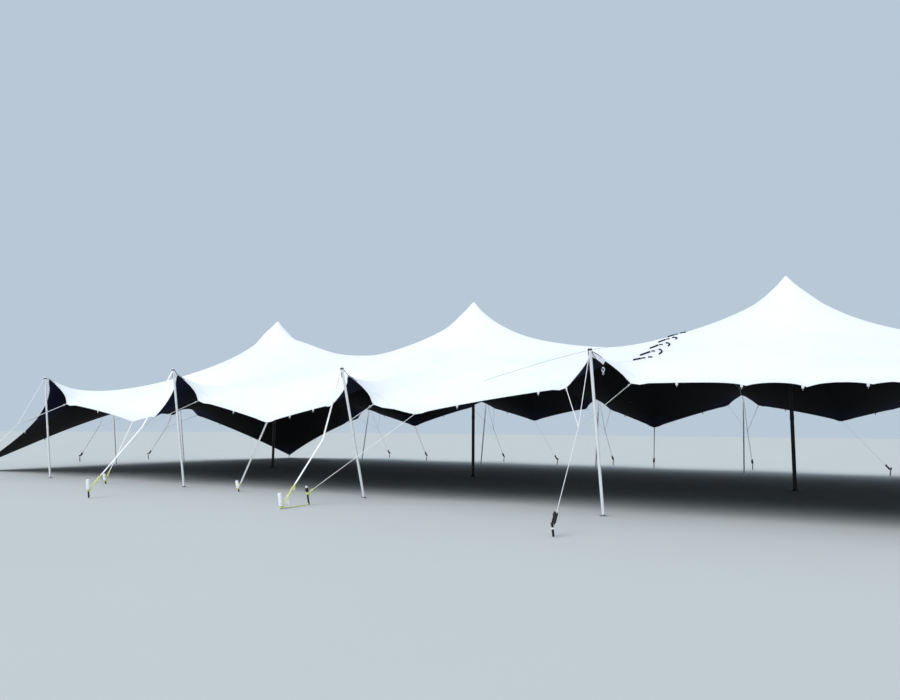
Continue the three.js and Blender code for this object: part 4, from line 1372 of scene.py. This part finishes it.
def guy_parts(pole, master, sizes, tube):
    """A rim pole's guy: webbing from its head and from both ears to a ring, and on down to the stake."""
    rope_long, sleeve_long, edge = pole["end"]
    parts, eye = stake_parts(pole["stake"], pole["tall"], sleeve_long, pole["top"], sizes)
    axis = (pole["top"] - pole["foot"]).normalized()
    head, knot = pole["top"] - axis * GUY_BELOW_HEAD, pole["knot"]
    pull = knot - head
    across = (pull - axis * pull.dot(axis)).normalized()
    down = (eye - knot).normalized()
    flat = turned_flat(down, edge)
    wide, thick = sizes.width, sizes.thick
    parts.append(ring(KNOT_RING, KNOT_WIRE, axes_at(knot, flat.cross(down))))
    parts.append(webbing(between(head + across * tube, knot, 6), flat, wide, thick))
    wrap = circled(head, across, axis.cross(across), tube + thick / 2, np.linspace(0, TURN, 17)[:-1])
    parts.append(webbing(wrap, axis, wide * 0.8, thick, closed=True))
    parts += line_end(knot, eye, rope_long, master, flat, sizes)
    for held in pole["cells"][::2]:
        ear = rim_point(held)
        run = (knot - ear).normalized()
        side = turned_flat(run, EAR_EDGE)
        buckle = ear + run * BUCKLE_AT
        parts.append(webbing(between(ear, buckle, 3), side, sizes.ear_width * 1.3, thick * 1.6))
        parts.append(ring(KNOT_RING, KNOT_WIRE, axes_at(buckle, side.cross(run))))
        parts.append(webbing(between(buckle, knot, 8), side, sizes.ear_width, thick))
    return parts


def ground_rope(sizes):
    """The rope that lies between two front stakes, tied at both."""
    start, end = (at["stake"] + UP * TIED_AT for at in (LOWS[2], POLES[4]))
    path = []
    for t in np.linspace(0, 1, 25):
        sway = sum(reach * math.sin(turns * TURN * t) for reach, turns in GROUND_SWAYS)
        rise = GROUND_RISE * abs(2 * t - 1) ** GROUND_ENDS - TIED_AT + sizes.rope_radius
        path.append(start.lerp(end, t) + Vector((0, sway, rise)))
    return cord(path, sizes.rope_radius, laid_rope())


class TENT_OT_guys(Operator):
    """Makes each rim pole's guy with its rope or ratchet and its stake"""
    bl_idname = "tent.guys"
    bl_label = "Guys"

    def execute(self, context):
        master = ratchet()
        for pole in POLES:
            parts = guy_parts(pole, master, context.scene.tent_straps, context.scene.tent_poles.tube_radius)
            joined(pole["place"] % "guy_rope", parts, pole["place"] % "guy")
        bpy.data.objects.remove(master)
        return {"FINISHED"}


class TENT_OT_tie_downs(Operator):
    """Makes the lines that draw the rim down between poles, and the four corner anchors"""
    bl_idname = "tent.tie_downs"
    bl_label = "Tie-downs and anchors"

    def execute(self, context):
        sizes = context.scene.tent_straps
        master = ratchet()
        for low in LOWS + CORNERS:
            rim = rim_point(low["cell"])
            rope_long, sleeve_long, edge = low["end"]
            parts, eye = stake_parts(low["stake"], low["tall"], sleeve_long, rim, sizes)
            down = (eye - rim).normalized()
            flat = turned_flat(down, edge)
            start = rim + down * 0.02
            parts.append(ring(KNOT_RING, KNOT_WIRE, axes_at(start, flat.cross(down))))
            parts += line_end(start, eye, rope_long, master, flat, sizes)
            if low is LOWS[2]:
                parts.append(ground_rope(sizes))
            joined(low["name"], parts, low["node"])
        bpy.data.objects.remove(master)
        return {"FINISHED"}


# Floor, light and camera

FLOOR_SIZE, FLOOR_Z = 400, -0.002
# Each sun's turn in degrees, its strength, and the angle that it fills, in degrees
SUN_PLACE = (0, -10, 20)
SUNS = {"key": ((38, 8, -25), 1.9, 50), "fill": ((60, 0, 50), 0.4, 80)}
CAMERA_AT = (10.37, -19.375, 1.40)
CAMERA_YAW, CAMERA_PITCH, CAMERA_ROLL = (math.radians(a) for a in (30.055, 6.373, 0.459))
SENSOR_WIDTH, CLIP_END = 36, 500


def camera_place():
    """The camera's place: it stands at an eye's height and looks to the left, a little up."""
    level = Vector((math.cos(CAMERA_YAW), math.sin(CAMERA_YAW), 0))
    ahead = UP.cross(level) * math.cos(CAMERA_PITCH) + UP * math.sin(CAMERA_PITCH)
    rise = level.cross(ahead)
    right = level * math.cos(CAMERA_ROLL) + rise * math.sin(CAMERA_ROLL)
    upward = rise * math.cos(CAMERA_ROLL) - level * math.sin(CAMERA_ROLL)
    return Matrix.Translation(CAMERA_AT) @ Matrix((right, upward, -ahead)).transposed().to_4x4()


class TENT_OT_stage(Operator):
    """Makes the floor, the soft studio light and the camera"""
    bl_idname = "tent.stage"
    bl_label = "Floor, light and camera"

    def execute(self, context):
        stage = context.scene.tent_stage
        deselect()
        bpy.ops.mesh.primitive_plane_add(size=FLOOR_SIZE, location=(0, 0, FLOOR_Z))
        floor = bpy.context.object
        floor.name = "floor"
        coat(settled(floor), matt_floor())
        world = bpy.data.worlds.new("studio")
        world.use_nodes = True
        air = world.node_tree.nodes["Background"]
        air.inputs["Color"].default_value = shade(stage.backdrop)
        air.inputs["Strength"].default_value = 1.0
        context.scene.world = world
        context.scene.view_settings.view_transform = "Standard"
        for name, (turn, strength, angle) in SUNS.items():
            rotation = [math.radians(a) for a in turn]
            bpy.ops.object.light_add(type="SUN", rotation=rotation, location=SUN_PLACE)
            lamp = bpy.context.object
            lamp.name = name
            lamp.data.energy = strength
            lamp.data.angle = math.radians(angle)
        bpy.ops.object.camera_add()
        camera = bpy.context.object
        camera.matrix_world = camera_place()
        camera.data.sensor_width = SENSOR_WIDTH
        camera.data.lens = stage.focal
        camera.data.clip_end = CLIP_END
        context.scene.camera = camera
        return {"FINISHED"}


class TENT_PT_pieces(Panel):
    """Lists the tent's pieces in the sidebar"""
    bl_label = "Stretch tent"
    bl_idname = "TENT_PT_pieces"
    bl_space_type = "VIEW_3D"
    bl_region_type = "UI"
    bl_category = "Tent"

    def draw(self, context):
        for group in GROUPS:
            settings = getattr(context.scene, group)
            for name in settings.__annotations__:
                self.layout.prop(settings, name)
        for piece in OPERATORS:
            self.layout.operator(piece.bl_idname)


GROUPS = {"tent_cloth": TentCloth, "tent_poles": TentPoles, "tent_straps": TentStraps, "tent_stage": TentStage}
OPERATORS = [TENT_OT_stage, TENT_OT_masts, TENT_OT_rim_poles, TENT_OT_guys, TENT_OT_tie_downs, TENT_OT_canopies]


def register():
    for made in (*GROUPS.values(), *OPERATORS, TENT_PT_pieces):
        bpy.utils.register_class(made)
    for name, group in GROUPS.items():
        setattr(bpy.types.Scene, name, PointerProperty(type=group))


def unregister():
    for name in GROUPS:
        delattr(bpy.types.Scene, name)
    for made in (TENT_PT_pieces, *OPERATORS, *GROUPS.values()):
        bpy.utils.unregister_class(made)


def main():
    register()
    bpy.ops.tent.stage()
    bpy.ops.tent.masts()
    bpy.ops.tent.rim_poles()
    bpy.ops.tent.guys()
    bpy.ops.tent.tie_downs()
    bpy.ops.tent.canopies()


if __name__ == "__main__":
    main()
